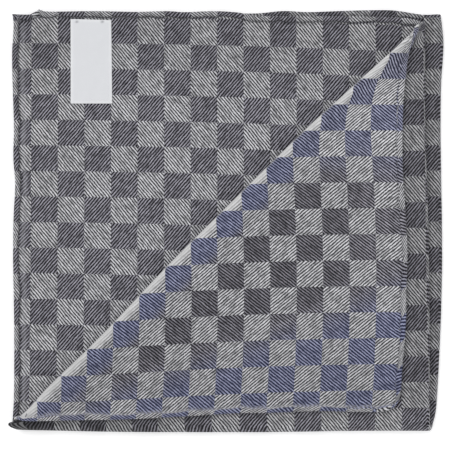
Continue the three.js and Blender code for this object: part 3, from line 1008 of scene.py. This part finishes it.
    def cut_cells(self, cells: Cells, corners: Array, length: float) -> tuple[Cells, Array]:
        """Cuts the cells along the line at one length past the start of the roll.

        Args:
            cells: Corner numbers of each cell.
            corners: Places of the corners on the flat square.
            length: Length past the start of the roll.

        Returns:
            The new cells and all corners.
        """
        distance = self.past_roll_start(corners) - length
        side = np.where(np.abs(distance) < self.snap, 0, np.sign(distance)).astype(int).tolist()
        cuts: dict[tuple[int, int], int] = {}
        result = []
        for cell in cells:
            if not {side[corner] for corner in cell} >= {-1, 1}:
                result.append(cell)
                continue
            low, high = [], []
            for first, second in zip(cell, cell[1:] + cell[:1]):
                if side[first] <= 0:
                    low.append(first)
                if side[first] >= 0:
                    high.append(first)
                if side[first] * side[second] < 0:
                    key = (first, second) if side[first] < 0 else (second, first)
                    cut = cuts.setdefault(key, len(corners) + len(cuts))
                    low.append(cut)
                    high.append(cut)
            result += [low, high]
        below, above = corners[np.array(list(cuts), int).T]
        for _ in range(self.cut_rounds):
            half = (below + above) / 2.0
            short = (self.past_roll_start(half) < length)[:, None]
            below, above = np.where(short, half, below), np.where(short, above, half)
        return result, np.concatenate([corners, above])

    def cells(self) -> tuple[Cells, Array]:
        """Cells of the flat square, cut along the roll and the curved part of the flap.

        Returns:
            Corner numbers of each cell, and places of the corners on the flat square.
        """
        lines = self.divisions()
        grid_t, grid_s = np.meshgrid(lines, lines, indexing="ij")
        corners = np.stack([grid_s.ravel(), grid_t.ravel()], axis=1)
        cells = grid_cells(len(lines) - 1, len(lines) - 1)
        turned = math.pi * max(self.corner.roll_radius.across)
        roll = [turned * i / self.roll_steps for i in range(self.roll_steps + 1)]
        for length in [*roll, *(turned + extra for extra in self.flap_lines)]:
            cells, corners = self.cut_cells(cells, corners, length)
        return cells, corners

    def build(self, name: str) -> bpy.types.Object:
        """Makes the closed mesh of the cloth.

        Args:
            name: Name of the piece.

        Returns:
            The object, with its weave coordinates and its attributes for the finish.
        """
        cells, even = self.cells()
        s, t = self.handled(even).T
        out = self.plain_side(s, t)
        middle = self.place(s, t) + out * self.pucker(*even.T)[:, None]
        plain_offset, rolled_offset = self.side_offsets(*even.T)
        plain = middle + out * plain_offset[:, None]
        rolled = middle - out * rolled_offset[:, None]
        points = np.concatenate([plain, rolled])
        low, high = points.min(0), points.max(0)
        self.shift = -np.array([(low[0] + high[0]) / 2.0, (low[1] + high[1]) / 2.0, low[2]])
        mesh, rims = closed_sheet(name, cells, plain + self.shift, rolled + self.shift)
        self.add_weave_map(mesh, cells, rims, even)
        self.add_attributes(mesh, even, middle)
        return link(name, mesh)

    def add_weave_map(self, mesh: bpy.types.Mesh, cells: Cells, rims: int, corners: Array) -> None:
        """Writes the column and row numbers of the checks to the mesh, for each side.

        Args:
            mesh: The mesh, with the cells of the plain side, of the other side, and the rim.
            cells: Corner numbers of each cell.
            rims: How many faces the rim has.
            corners: Places of the corners on the flat square.
        """
        s, t = corners.T
        flat, edge = self.weave(s, t), self.from_edge(s, t)
        nib = 1.0 - self.corner.nib_length / self.half_length
        rolled = np.array([max(edge[cell]) <= self.hem.width + self.margin for cell in cells])
        at_nib = np.array([
            max(s[cell]) < -nib and min(t[cell]) > nib
            and min(abs(s[cell])) > max(abs(t[cell])) - self.tiny for cell in cells])
        on_roll = np.concatenate([np.zeros(len(cells), bool), rolled, np.zeros(rims, bool)])
        vertex = np.empty(len(mesh.loops), np.int32)
        mesh.loops.foreach_get("vertex_index", vertex)
        totals = np.array([polygon.loop_total for polygon in mesh.polygons])
        corner = vertex % len(corners)
        turned = self.weave_on_roll(corners, flat)
        places = np.where(np.repeat(on_roll, totals)[:, None], turned[corner], flat[corner])
        mesh.uv_layers.new(name="weave").data.foreach_set("uv", places.astype(np.float32).ravel())
        outer = np.concatenate([np.ones(len(cells)), rolled & ~at_nib, np.ones(rims)])
        write(mesh, "outer", outer, "FACE")

    def add_attributes(self, mesh: bpy.types.Mesh, corners: Array, middle: Array) -> None:
        """Writes the masks of painted light and shade: the highlight beside the crease, the sheen and shading
        on the flap, the shade in the grooves and the shading of both sides.

        Args:
            mesh: The mesh of the cloth.
            corners: Places of the corners on the flat square.
            middle: The same places on the folded cloth.
        """
        s, t = corners.T
        x, y = middle[:, 0], middle[:, 1]
        edge, past = self.from_edge(s, t), self.past_roll_start(corners)
        past = past - self.roll_length(self.first_plan(*self.shares(s, t))) / 2.0
        # Painted shade in the groove beside the roll, less on the flap's right hem and a lighter grey on its
        # bottom hem, with a lighter streak beside the left hem of the second layer.
        by_bottom = np.abs(s) > np.abs(t)
        on_top, on_side, below = self.groove_depths
        depth = np.where(past > 0.0, np.where(by_bottom, below, on_side), on_top)
        share, place, width = self.left_streak
        streak = share * (by_bottom & (s > 0.0) & (t > 0.0)) * hill(edge - place, width)
        groove_shade = depth * hill(edge - self.hem.width, self.groove_width) - streak
        write(mesh, "groove_shade", np.concatenate([np.zeros(len(groove_shade)), groove_shade]))
        # Distance from the crease, for the painted highlight along it, faded towards the upper tip.
        crest = np.where(past > self.crest_before, np.abs(past), self.far) + self.crest_highlight_fade.at(y)
        write(mesh, "crest", np.tile(crest, 2))
        # Painted blue sheen on the dark checks of the flap; below zero it is painted shade.
        write(mesh, "blue", np.tile(self.painted_light.blue(past, x, y), 2))
        # Painted shading of the two sides.
        on_first = Ramp(-self.bend, 0.0).at(t) * (s < self.bend)
        write(mesh, "tone", self.painted_light.sides(past, x, y, on_first))

    def on_second(self, x: Array, y: Array) -> Array:
        """Height of the upper face of the second layer."""
        return self.height(Layer.SECOND, x, y) + self.ripple.at(x, y) + self.sheet / 2.0


def add_node(
    tree: bpy.types.NodeTree, kind: str, settings: Mapping[str, Any], sockets: Mapping[Any, Any]
) -> bpy.types.Node:
    """Adds one node to a tree.

    Args:
        tree: The tree of a material or of Geometry Nodes.
        kind: The node's type.
        settings: Its own settings.
        sockets: Values, sockets or signals for its inputs, by name or number.

    Returns:
        The node.
    """
    node = tree.nodes.new(kind)
    for name, value in settings.items():
        setattr(node, name, value)
    for key, value in sockets.items():
        value = getattr(value, "socket", value)
        if isinstance(value, bpy.types.NodeSocket):
            tree.links.new(value, node.inputs[key])
        else:
            node.inputs[key].default_value = value
    return node


class Board:
    """The node tree of one material, on which a finish is laid out."""

    def __init__(self, name: str) -> None:
        """Makes an empty material."""
        self.material = bpy.data.materials.new(name)
        self.material.use_nodes = True
        self.tree = self.material.node_tree
        self.tree.nodes.clear()

    def signal(self, kind: str, sockets: Mapping[Any, Any], output: Any = 0, **settings: Any) -> Signal:
        """Adds one node and gives one of its outputs."""
        return Signal(self, add_node(self.tree, kind, settings, sockets).outputs[output])

    def maths(self, operation: str, *values: Any) -> Signal:
        """Adds a Math node on numbers and signals."""
        return self.signal("ShaderNodeMath", dict(enumerate(values)), operation=operation)

    def attribute(self, name: str) -> Signal:
        """Reads a number that the mesh holds."""
        return self.signal("ShaderNodeAttribute", {}, "Fac", attribute_name=name)

    def split(self, vector: Signal) -> tuple[Signal, Signal]:
        """Takes the first two numbers of a vector."""
        node = add_node(self.tree, "ShaderNodeSeparateXYZ", {}, {0: vector})
        return Signal(self, node.outputs[0]), Signal(self, node.outputs[1])

    def blend(self, share: Any, first: Any, second: Any) -> Signal:
        """Goes from the first colour at share 0 to the second at share 1."""
        sockets = {0: share, 6: first, 7: second}
        return self.signal("ShaderNodeMix", sockets, 2, data_type="RGBA", clamp_factor=True)

    def scaled(self, colour: Signal, share: Signal) -> Signal:
        """Makes a colour lighter or darker."""
        return self.signal("ShaderNodeVectorMath", {0: colour, "Scale": share}, operation="SCALE")

    def vector(self, x: Any, y: Any, z: Any) -> Signal:
        """Joins three numbers to a vector."""
        return self.signal("ShaderNodeCombineXYZ", {0: x, 1: y, 2: z})

    def chance(self, vector: Signal) -> Signal:
        """A number between 0 and 1 that is the same all over each whole step."""
        return self.signal("ShaderNodeTexWhiteNoise", {"Vector": vector}, noise_dimensions="3D")

    def noise(self, vector: Signal, scale: float = 1.0, detail: float = 2.0) -> Signal:
        """Smooth noise between 0 and 1."""
        sockets = {"Vector": vector, "Scale": scale, "Detail": detail, "Roughness": NOISE_ROUGHNESS}
        return self.signal("ShaderNodeTexNoise", sockets, noise_dimensions="3D")

    def bump(self, strength: float, relief: float, height: Signal) -> Signal:
        """Tilts the surface by a height pattern, with its relief in metres."""
        return self.signal("ShaderNodeBump", {"Strength": strength, "Distance": relief, "Height": height})

    def shade(self, finish: Mapping[str, Any]) -> bpy.types.Material:
        """Adds the shader with its values and signals, and gives the material."""
        shader = self.signal("ShaderNodeBsdfPrincipled", finish)
        add_node(self.tree, "ShaderNodeOutputMaterial", {}, {"Surface": shader})
        return self.material


@dataclass(frozen=True)
class Signal:
    """One value on a board. Arithmetic on it adds Math nodes."""

    board: Board
    socket: bpy.types.NodeSocket

    def __add__(self, other: Any) -> Signal:
        """Sum."""
        return self.board.maths("ADD", self, other)

    __radd__ = __add__

    def __sub__(self, other: Any) -> Signal:
        """Difference."""
        return self.board.maths("SUBTRACT", self, other)

    def __rsub__(self, other: Any) -> Signal:
        """Difference, the other way round."""
        return self.board.maths("SUBTRACT", other, self)

    def __mul__(self, other: Any) -> Signal:
        """Product."""
        return self.board.maths("MULTIPLY", self, other)

    __rmul__ = __mul__

    def whole(self) -> Signal:
        """Next whole number below."""
        return self.board.maths("FLOOR", self)

    def wave(self) -> Signal:
        """Cosine of the signal in turns, from -1 to 1."""
        return self.board.maths("COSINE", self * (2.0 * math.pi))

    def rising(self, low: float, high: float) -> Signal:
        """Rises smoothly from 0 at low to 1 at high."""
        sockets = {"Value": self, "From Min": low, "From Max": high}
        return self.board.signal("ShaderNodeMapRange", sockets, interpolation_type="SMOOTHSTEP")


class Cut(float, Enum):
    """Which cut through the noise each part of the twill uses."""

    DRIFT = 0.0
    START = 2.0
    WARP = 3.0
    WAVER = 4.0
    WEFT = 7.0
    GRAIN = 9.0


@dataclass(frozen=True)
class TwillFinish:
    """Cotton twill woven in checks: light lines on one, dark lines on the next.

    Each check has four-end twill, weft-faced where it is light and warp-faced where it is
    dark, so the lines lean the other way from one check to the next.
    """

    lines_by_column: float = 8.0
    lines_by_row: float = 6.5
    ends: float = 32.0
    picks: float = 26.0
    drift_scale: float = 2.2
    waver_scale: float = 14.0
    shift: float = 0.5
    line_edge: float = 0.78
    narrowing: float = 0.22
    float_share: float = 0.1
    yarns: float = 20.0
    yarn_run: float = 0.7
    grain_scale: float = 26.0
    slub: Three = (0.36, 0.35, 0.58)  # least, by yarn, by grain
    streak_scales: Two = (1.7, 3.5)  # across the lines, along them
    streak: Two = (1.9, -0.15)  # by noise, fixed
    # Painted highlight along the crease: its reach and strength on the light checks, then on the dark checks.
    crest_highlight_edge: Two = (0.7, 4.9)
    crest_highlight: Two = (0.7, 0.4)  # least, by grain
    dark_crest_highlight_edge: Two = (0.0, 1.6)
    dark_crest_highlight: float = 0.4
    # Painted shade in the grooves beside the hems, and how much lighter grey goes where that mask is below
    # zero.
    groove_dark: float = 0.6
    groove_light: float = -0.5
    # The lines are lighter and the gaps darker than the yarns: the light and shade of the twill's relief is
    # painted in.
    light_line: Colour = (0.66, 0.661, 0.69, 1.0)
    light_gap_shade: Colour = (0.018, 0.018, 0.022, 1.0)
    dark_line: Colour = (0.36, 0.353, 0.405, 1.0)
    dark_gap_shade: Colour = (0.005, 0.004, 0.007, 1.0)
    # Colours of the painted blue sheen on the dark checks of the flap.
    blue_sheen_line: Colour = (0.345, 0.365, 0.525, 1.0)
    blue_sheen_gap_shade: Colour = (0.006, 0.009, 0.036, 1.0)
    # Colours of the painted highlight on the crease, of the painted shade in the grooves, and of the lighter
    # grey beside some hems.
    crest_highlight_colour: Colour = (0.64, 0.64, 0.64, 1.0)
    groove_shadow_colour: Colour = (0.01, 0.01, 0.013, 1.0)
    ridge_colour: Colour = (0.42, 0.42, 0.45, 1.0)
    roughness: float = 0.88
    sheen: float = 0.12
    shine: float = 0.25
    bump: float = 0.6
    relief: float = 0.00009
    heights: Two = (0.7, 0.15)

    def material(self) -> bpy.types.Material:
        """Lays out the finish.

        Returns:
            The material.
        """
        board = Board("checked_twill")
        column, row = board.split(board.signal("ShaderNodeUVMap", {}, uv_map="weave"))
        outer, crest, blue, groove_shade, level = (
            board.attribute(name) for name in ("outer", "crest", "blue", "groove_shade", "tone"))
        odd = board.maths("FLOORED_MODULO", column.whole() + row.whole(), 2.0)
        dark = board.maths("ABSOLUTE", odd - outer)
        drift = board.noise(board.vector(column, row, Cut.DRIFT), self.drift_scale) * self.shift
        waver = board.noise(board.vector(column, row, Cut.WAVER), self.waver_scale) * self.shift
        start = board.chance(board.vector(column.whole(), row.whole(), Cut.START))
        lean = (1.0 - 2.0 * odd) * row * self.lines_by_row
        phase = column * self.lines_by_column - lean + drift + waver + start
        line = phase.wave() * (1.0 - 2.0 * dark) - self.narrowing * dark
        weave = (column * self.ends).wave() * (row * self.picks).wave()
        warp = board.noise(board.vector(column * self.yarns, row * self.yarn_run, Cut.WARP))
        weft = board.noise(board.vector(column * self.yarn_run, row * self.yarns, Cut.WEFT))
        grain = board.noise(board.vector(column, row, Cut.GRAIN), self.grain_scale, detail=3.0)
        slub = self.slub[0] + self.slub[1] * (warp + weft) + self.slub[2] * grain
        by_line, by_place = self.streak_scales
        streak = board.noise(board.vector(phase * by_line, row * by_place, column * by_place), detail=1.0)
        tone = line.rising(-self.line_edge, self.line_edge) * (1.0 + self.float_share * weave)
        tone = tone * slub * (self.streak[0] * streak + self.streak[1])
        # The gap colours carry painted shade between the twill lines.
        light = board.blend(tone, self.light_gap_shade, self.light_line)
        grey = board.blend(tone, self.dark_gap_shade, self.dark_line)
        # Painted blue sheen on the dark checks.
        deep = board.blend(blue, grey, board.blend(tone, self.blue_sheen_gap_shade, self.blue_sheen_line))
        # Painted highlight along the crease, strong on the light checks and weaker on the dark ones.
        crest_highlight = (1.0 - crest.rising(*self.crest_highlight_edge)) * (self.crest_highlight[0] + self.crest_highlight[1] * grain)
        light = board.blend(crest_highlight, light, self.crest_highlight_colour)
        deep = board.blend((1.0 - crest.rising(*self.dark_crest_highlight_edge)) * self.dark_crest_highlight, deep, self.crest_highlight_colour)
        colour = board.blend(dark, light, deep)
        # Painted shade in the grooves beside the hems, and a lighter grey where that mask is below zero.
        colour = board.blend(groove_shade * self.groove_dark, colour, self.groove_shadow_colour)
        colour = board.blend(groove_shade * self.groove_light, colour, self.ridge_colour)
        # Painted shading from the tone attribute, and painted shade that deepens the dark checks where the
        # sheen mask is below zero.
        colour = board.scaled(colour, level * (1.0 + board.maths("MINIMUM", blue, 0.0) * dark))
        ridges = board.maths("ABSOLUTE", (phase * 0.5).wave())
        height = ridges * self.heights[0] + self.heights[1] * weave
        return board.shade({
            "Base Color": colour,
            "Roughness": self.roughness,
            "Sheen Weight": self.sheen,
            "Specular IOR Level": self.shine,
            "Normal": board.bump(self.bump, self.relief, height),
        })


@dataclass(frozen=True)
class TapeFinish:
    """Satin-woven white tape."""

    face: Colour = (0.645, 0.655, 0.68, 1.0)
    edge: Colour = (0.76, 0.77, 0.79, 1.0)
    rib_colour: Colour = (0.45, 0.46, 0.5, 1.0)
    tack_colour: Colour = (0.12, 0.12, 0.15, 1.0)
    tack: float = 0.75
    ribs: float = 3200.0
    ends: float = 2600.0
    weave: float = 0.05
    cloud_scale: float = 240.0
    cloud: float = 0.5
    roughness: float = 0.55
    sheen: float = 0.1
    bump: float = 0.35
    relief: float = 0.00005
    heights: Two = (0.5, 0.3)

    def material(self) -> bpy.types.Material:
        """Lays out the finish.

        Returns:
            The material.
        """
        board = Board("label_tape")
        here = board.signal("ShaderNodeTexCoord", {}, "Object")
        x, y = board.split(here)
        rib, warp = (y * self.ribs).wave(), (x * self.ends).wave()
        cloud = (board.noise(here, self.cloud_scale) - 0.5) * self.cloud
        colour = board.blend(board.attribute("border") + cloud, self.face, self.edge)
        colour = board.blend(self.weave + self.weave * rib * warp, colour, self.rib_colour)
        colour = board.blend(board.attribute("tack") * self.tack, colour, self.tack_colour)
        height = rib * self.heights[0] + warp * self.heights[1]
        return board.shade({
            "Base Color": colour,
            "Roughness": self.roughness,
            "Sheen Weight": self.sheen,
            "Normal": board.bump(self.bump, self.relief, height),
        })


@dataclass(frozen=True)
class ThreadFinish:
    """Sewing cotton."""

    name: str = "hem_thread"
    colour: Colour = (0.16, 0.16, 0.18, 1.0)
    low_colour: Colour = (0.096, 0.096, 0.108, 1.0)
    cloud_scale: float = 4000.0
    roughness: float = 0.7

    def material(self) -> bpy.types.Material:
        """Lays out the finish.

        Returns:
            The material.
        """
        board = Board(self.name)
        cloud = board.noise(board.signal("ShaderNodeTexCoord", {}, "Object"), self.cloud_scale)
        colour = board.blend(cloud, self.low_colour, self.colour)
        return board.shade({"Base Color": colour, "Roughness": self.roughness})


@dataclass(frozen=True)
class StageFinish:
    """Plain white paper under the square, lit from below as on a light table."""

    colour: Colour = (0.93, 0.93, 0.935, 1.0)
    glow_colour: Colour = (1.0, 1.0, 1.0, 1.0)
    glow: float = 0.27
    roughness: float = 0.9
    shine: float = 0.1

    def material(self) -> bpy.types.Material:
        """Lays out the finish."""
        return Board("white_paper").shade({
            "Base Color": self.colour, "Roughness": self.roughness, "Specular IOR Level": self.shine,
            "Emission Color": self.glow_colour, "Emission Strength": self.glow})


@dataclass
class TapeLabel:
    """The bare tape label, lying on the second layer with its end under the top hem."""

    cloth: FoldedCloth
    left: float = -59.1
    right: float = -43.5
    top: float = 77.1
    bottom: float = 44.9
    width: float = 15.6
    length: float = 32.0
    thickness: float = 0.28
    clearance: float = 0.04
    slant: float = 0.1
    taper: float = 0.35
    tilt: float = 0.45
    lift: float = 0.25
    curl: float = 0.1
    curl_turn: float = 3.1
    tacks: Two = (-56.6, -46.9)
    tack_drop: float = 1.1
    tack_size: Two = (0.3, 0.16)
    tack_depth: float = 0.45
    wave: float = 0.07
    wave_turns: Three = (0.9, 0.35, 0.42)  # over x and y, then over y alone
    thin_edge: float = 0.35
    rounding: float = 0.5
    border: float = 0.7
    columns: int = 40
    rows: int = 80

    def build(self, name: str) -> bpy.types.Object:
        """Makes the closed mesh of the tape.

        Args:
            name: Name of the piece.

        Returns:
            The object, with attributes for its borders and its tacks.
        """
        across, along = np.meshgrid(
            np.linspace(0.0, 1.0, self.columns + 1), np.linspace(0.0, 1.0, self.rows + 1))
        free = 1.0 - along
        x = mix(self.left + self.slant, self.right + self.taper * free, across)
        y = mix(self.bottom, self.top, along) - self.tilt * along * across
        off_tack = y - self.top + self.tack_drop
        tack = sum(np.exp(-((x - spot) ** 2 / self.tack_size[0] + off_tack**2 / self.tack_size[1]))
                   for spot in self.tacks)
        lift = self.lift * Ramp(0.0, 1.0).at(free) * free + self.curl * np.sin(self.curl_turn * across) * free
        by_x, by_y, along_y = self.wave_turns
        wave = self.wave * np.sin(by_x * x + by_y * y) * np.sin(along_y * y + 1.0) * (1.0 - tack)
        under = self.cloth.on_second(x, y) + self.clearance + lift + np.maximum(wave, 0.0)
        from_side, from_end = np.minimum(across, 1.0 - across), np.minimum(along, free)
        rim = np.minimum(from_side * self.width, from_end * self.length)
        soften = np.sqrt(1.0 - (1.0 - np.clip(rim / self.rounding, 0.0, 1.0)) ** 2)
        over = under + self.thickness * mix(self.thin_edge, 1.0, soften) * (1.0 - self.tack_depth * tack)
        high, low = (np.stack([x, y, z], -1).reshape(-1, 3) + self.cloth.shift for z in (over, under))
        mesh, _ = closed_sheet(name, grid_cells(self.columns, self.rows), high, low)
        write(mesh, "border", np.tile(hill(rim.ravel(), self.border), 2))
        write(mesh, "tack", np.tile(tack.ravel(), 2))
        return link(name, mesh)


@dataclass
class SlipStitches:
    """Small stitches that hold the roll down, spread along its inner edge."""

    cloth: FoldedCloth
    pitch: float = 7.0
    reach: float = 1.5
    thread: float = 0.13
    crown: float = 3.2
    float_over: float = 0.02
    clear: float = 2.5
    places: int = 520
    sides: int = 6
    lean_least: Three = (-0.05, -0.05, 0.6)
    lean_most: Three = (0.05, 0.05, 1.2)
    sizes: Two = (0.8, 1.15)
    seed: int = 7

    def path(self, name: str) -> bpy.types.Object:
        """Makes the line along the inner edge of the roll, with the way out of the cloth.

        Args:
            name: Name of the line's object.

        Returns:
            An object of edges with the attribute "out_of_cloth".
        """
        cloth = self.cloth
        inner = 1.0 - cloth.hem.width / cloth.half_length
        run = np.linspace(-inner, inner, self.places)
        fixed = np.full_like(run, inner)
        s, t = np.concatenate([(run, fixed), (run, -fixed), (fixed, run), (-fixed, run)], axis=1)
        out = -cloth.plain_side(s, t)
        points = cloth.place(s, t) + out * (cloth.sheet / 2.0 + self.float_over) + cloth.shift
        clear = np.abs(run) > self.clear * cloth.bend
        edges = [(start + i, start + i + 1) for start in range(0, len(s), len(run))
                 for i in range(len(run) - 1) if clear[i] and clear[i + 1]]
        mesh = bpy.data.meshes.new(name)
        mesh.from_pydata((points * MM).tolist(), edges, [])
        attribute = mesh.attributes.new("out_of_cloth", "FLOAT_VECTOR", "POINT")
        attribute.data.foreach_set("vector", out.astype(np.float32).ravel())
        return link(name, mesh)

    def tree(self, thread: bpy.types.Material) -> bpy.types.GeometryNodeTree:
        """Builds the node tree that spreads the stitches along a line.

        Args:
            thread: The finish of the thread.

        Returns:
            The tree, with inputs for the pitch, the reach and the thickness of the thread.
        """
        tree = bpy.data.node_groups.new("slip_stitches", "GeometryNodeTree")
        face = tree.interface
        face.new_socket("Geometry", in_out="INPUT", socket_type="NodeSocketGeometry")
        for label, value in (("Pitch", self.pitch), ("Reach", self.reach), ("Thread", self.thread)):
            socket = face.new_socket(label, in_out="INPUT", socket_type="NodeSocketFloat")
            socket.default_value = value * MM
        face.new_socket("Geometry", in_out="OUTPUT", socket_type="NodeSocketGeometry")

        def node(kind: str, sockets: Mapping[Any, Any], output: int = 0, **settings: Any) -> Any:
            """Adds a node and gives one of its outputs."""
            return add_node(tree, kind, settings, sockets).outputs[output]

        def point(axis: int, length: Any, share: float) -> Any:
            """A place along one axis, at a share of a length."""
            scaled = node("ShaderNodeMath", {0: length, 1: share}, operation="MULTIPLY")
            return node("ShaderNodeCombineXYZ", {axis: scaled})

        given = add_node(tree, "NodeGroupInput", {}, {}).outputs
        reach, radius = given["Reach"], given["Thread"]
        line = node("GeometryNodeMeshToCurve", {"Mesh": given["Geometry"]})
        spaced = node("GeometryNodeResampleCurve", {"Curve": line, "Length": given["Pitch"]}, mode="LENGTH")
        out = node("GeometryNodeInputNamedAttribute", {"Name": "out_of_cloth"}, data_type="FLOAT_VECTOR")
        facing = node(
            "FunctionNodeAxesToRotation",
            {"Primary Axis": out, "Secondary Axis": node("GeometryNodeInputTangent", {})},
            primary_axis="Z", secondary_axis="X")
        lean = node(
            "FunctionNodeRandomValue", {0: self.lean_least, 1: self.lean_most, "Seed": self.seed},
            data_type="FLOAT_VECTOR")
        turned = node(
            "FunctionNodeRotateRotation", {0: facing, 1: node("FunctionNodeEulerToRotation", {0: lean})},
            rotation_space="LOCAL")
        arc = node("GeometryNodeCurveQuadraticBezier", {
            "Resolution": self.sides, "Start": point(0, reach, -0.5),
            "Middle": point(2, radius, self.crown), "End": point(0, reach, 0.5)})
        ring = node("GeometryNodeCurvePrimitiveCircle", {"Resolution": self.sides, "Radius": radius})
        stitch = node("GeometryNodeCurveToMesh", {"Curve": arc, "Profile Curve": ring, "Fill Caps": True})
        size = node(
            "FunctionNodeRandomValue", {2: self.sizes[0], 3: self.sizes[1], "Seed": self.seed + 1}, 1,
            data_type="FLOAT")
        placed = node("GeometryNodeInstanceOnPoints", {
            "Points": spaced, "Instance": stitch, "Rotation": turned, "Scale": size})
        smooth = node("GeometryNodeSetShadeSmooth", {0: node("GeometryNodeRealizeInstances", {0: placed})})
        painted = node("GeometryNodeSetMaterial", {"Geometry": smooth, "Material": thread})
        add_node(tree, "NodeGroupOutput", {}, {0: painted})
        return tree

    def build(self, name: str, thread: bpy.types.Material) -> bpy.types.Object:
        """Sews the stitches and leaves them as a plain mesh.

        Args:
            name: Name of the piece.
            thread: The finish of the thread.

        Returns:
            The object of all stitches.
        """
        line = self.path(f"{name}_line")
        modifier = line.modifiers.new("stitches", "NODES")
        modifier.node_group = self.tree(thread)
        for socket in modifier.node_group.interface.items_tree:
            if socket.in_out == "INPUT" and socket.socket_type == "NodeSocketFloat":
                modifier[socket.identifier] = socket.default_value
        graph = bpy.context.evaluated_depsgraph_get()
        mesh = bpy.data.meshes.new_from_object(line.evaluated_get(graph), depsgraph=graph)
        mesh.name = name
        bpy.data.objects.remove(line)
        return link(name, mesh)


@dataclass(frozen=True)
class Lamp:
    """One soft square lamp that faces the middle of the square, in metres and watts."""

    name: str
    place: Three
    size: float
    power: float

    def build(self) -> None:
        """Hangs the lamp."""
        data = bpy.data.lights.new(self.name, "AREA")
        data.shape, data.size, data.energy = "SQUARE", self.size, self.power
        lamp = link(self.name, data)
        lamp.location = self.place
        lamp.rotation_mode = "QUATERNION"
        lamp.rotation_quaternion = (-lamp.location).to_track_quat("-Z", "Y")


@dataclass(frozen=True)
class Studio:
    """White paper, soft light and a camera that looks straight down."""

    image: int = 450
    pixels_per_mm: float = 2.63
    middle_pixel: Two = (225.7, 221.65)
    lens: float = 400.0
    sensor: float = 36.0
    plane: float = 5.0
    paper: float = 3.0
    ambient: float = 0.85
    lamps: tuple[Lamp, ...] = (
        Lamp("window", (-0.9, 0.8, 1.3), 1.2, 9.0), Lamp("fill", (0.9, -0.7, 1.4), 1.4, 3.0))

    def add_paper(self) -> None:
        """Lays the white paper under the square."""
        half = self.paper / 2.0
        mesh = bpy.data.meshes.new("paper")
        corners = [(-half, -half, 0.0), (half, -half, 0.0), (half, half, 0.0), (-half, half, 0.0)]
        mesh.from_pydata(corners, [], [[0, 1, 2, 3]])
        mesh.materials.append(StageFinish().material())
        link("paper", mesh)

    def add_world(self) -> None:
        """Fills the room with even white light."""
        world = bpy.data.worlds.new("white_room")
        world.use_nodes = True
        background = world.node_tree.nodes["Background"]
        background.inputs["Color"].default_value = (1.0, 1.0, 1.0, 1.0)
        background.inputs["Strength"].default_value = self.ambient
        bpy.context.scene.world = world

    def add_camera(self, shift: Array) -> None:
        """Sets the camera at the photograph's view.

        Args:
            shift: From the places of the fold to those of the scene, in millimetres.
        """
        data = bpy.data.cameras.new("camera")
        data.lens, data.sensor_width = self.lens, self.sensor
        distance = self.image / self.pixels_per_mm * self.lens / self.sensor
        x = (self.image / 2.0 - self.middle_pixel[0]) / self.pixels_per_mm + shift[0]
        y = (self.middle_pixel[1] - self.image / 2.0) / self.pixels_per_mm + shift[1]
        camera = link("camera", data)
        camera.location = (x * MM, y * MM, (self.plane + distance) * MM)
        bpy.context.scene.camera = camera

    def build(self, shift: Array) -> None:
        """Sets up the whole studio.

        Args:
            shift: From the places of the fold to those of the scene, in millimetres.
        """
        self.add_paper()
        for lamp in self.lamps:
            lamp.build()
        self.add_world()
        self.add_camera(shift)
        bpy.context.scene.view_settings.view_transform = "Standard"


def dress(piece: bpy.types.Object, material: bpy.types.Material) -> None:
    """Gives a piece its finish and the body that it moves with.

    Args:
        piece: The finished object.
        material: Its finish.
    """
    if not piece.data.materials:
        piece.data.materials.append(material)
    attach(piece, "root")
    LOG.info("%s: %d faces", piece.name, len(piece.data.polygons))


def main() -> None:
    """Builds the square, its label and its stitches, and sets up the studio."""
    logging.basicConfig(level=logging.INFO, format="%(name)s %(message)s")
    folded = FoldedCloth()
    cloth = folded.build("folded_cloth")
    dress(cloth, TwillFinish().material())
    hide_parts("cloth")
    label = TapeLabel(folded).build("tape_label")
    dress(label, TapeFinish().material())
    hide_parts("label")
    thread = ThreadFinish().material()
    stitches = SlipStitches(folded).build("hem_stitches", thread)
    dress(stitches, thread)
    Studio().build(folded.shift)


if __name__ == "__main__":
    main()
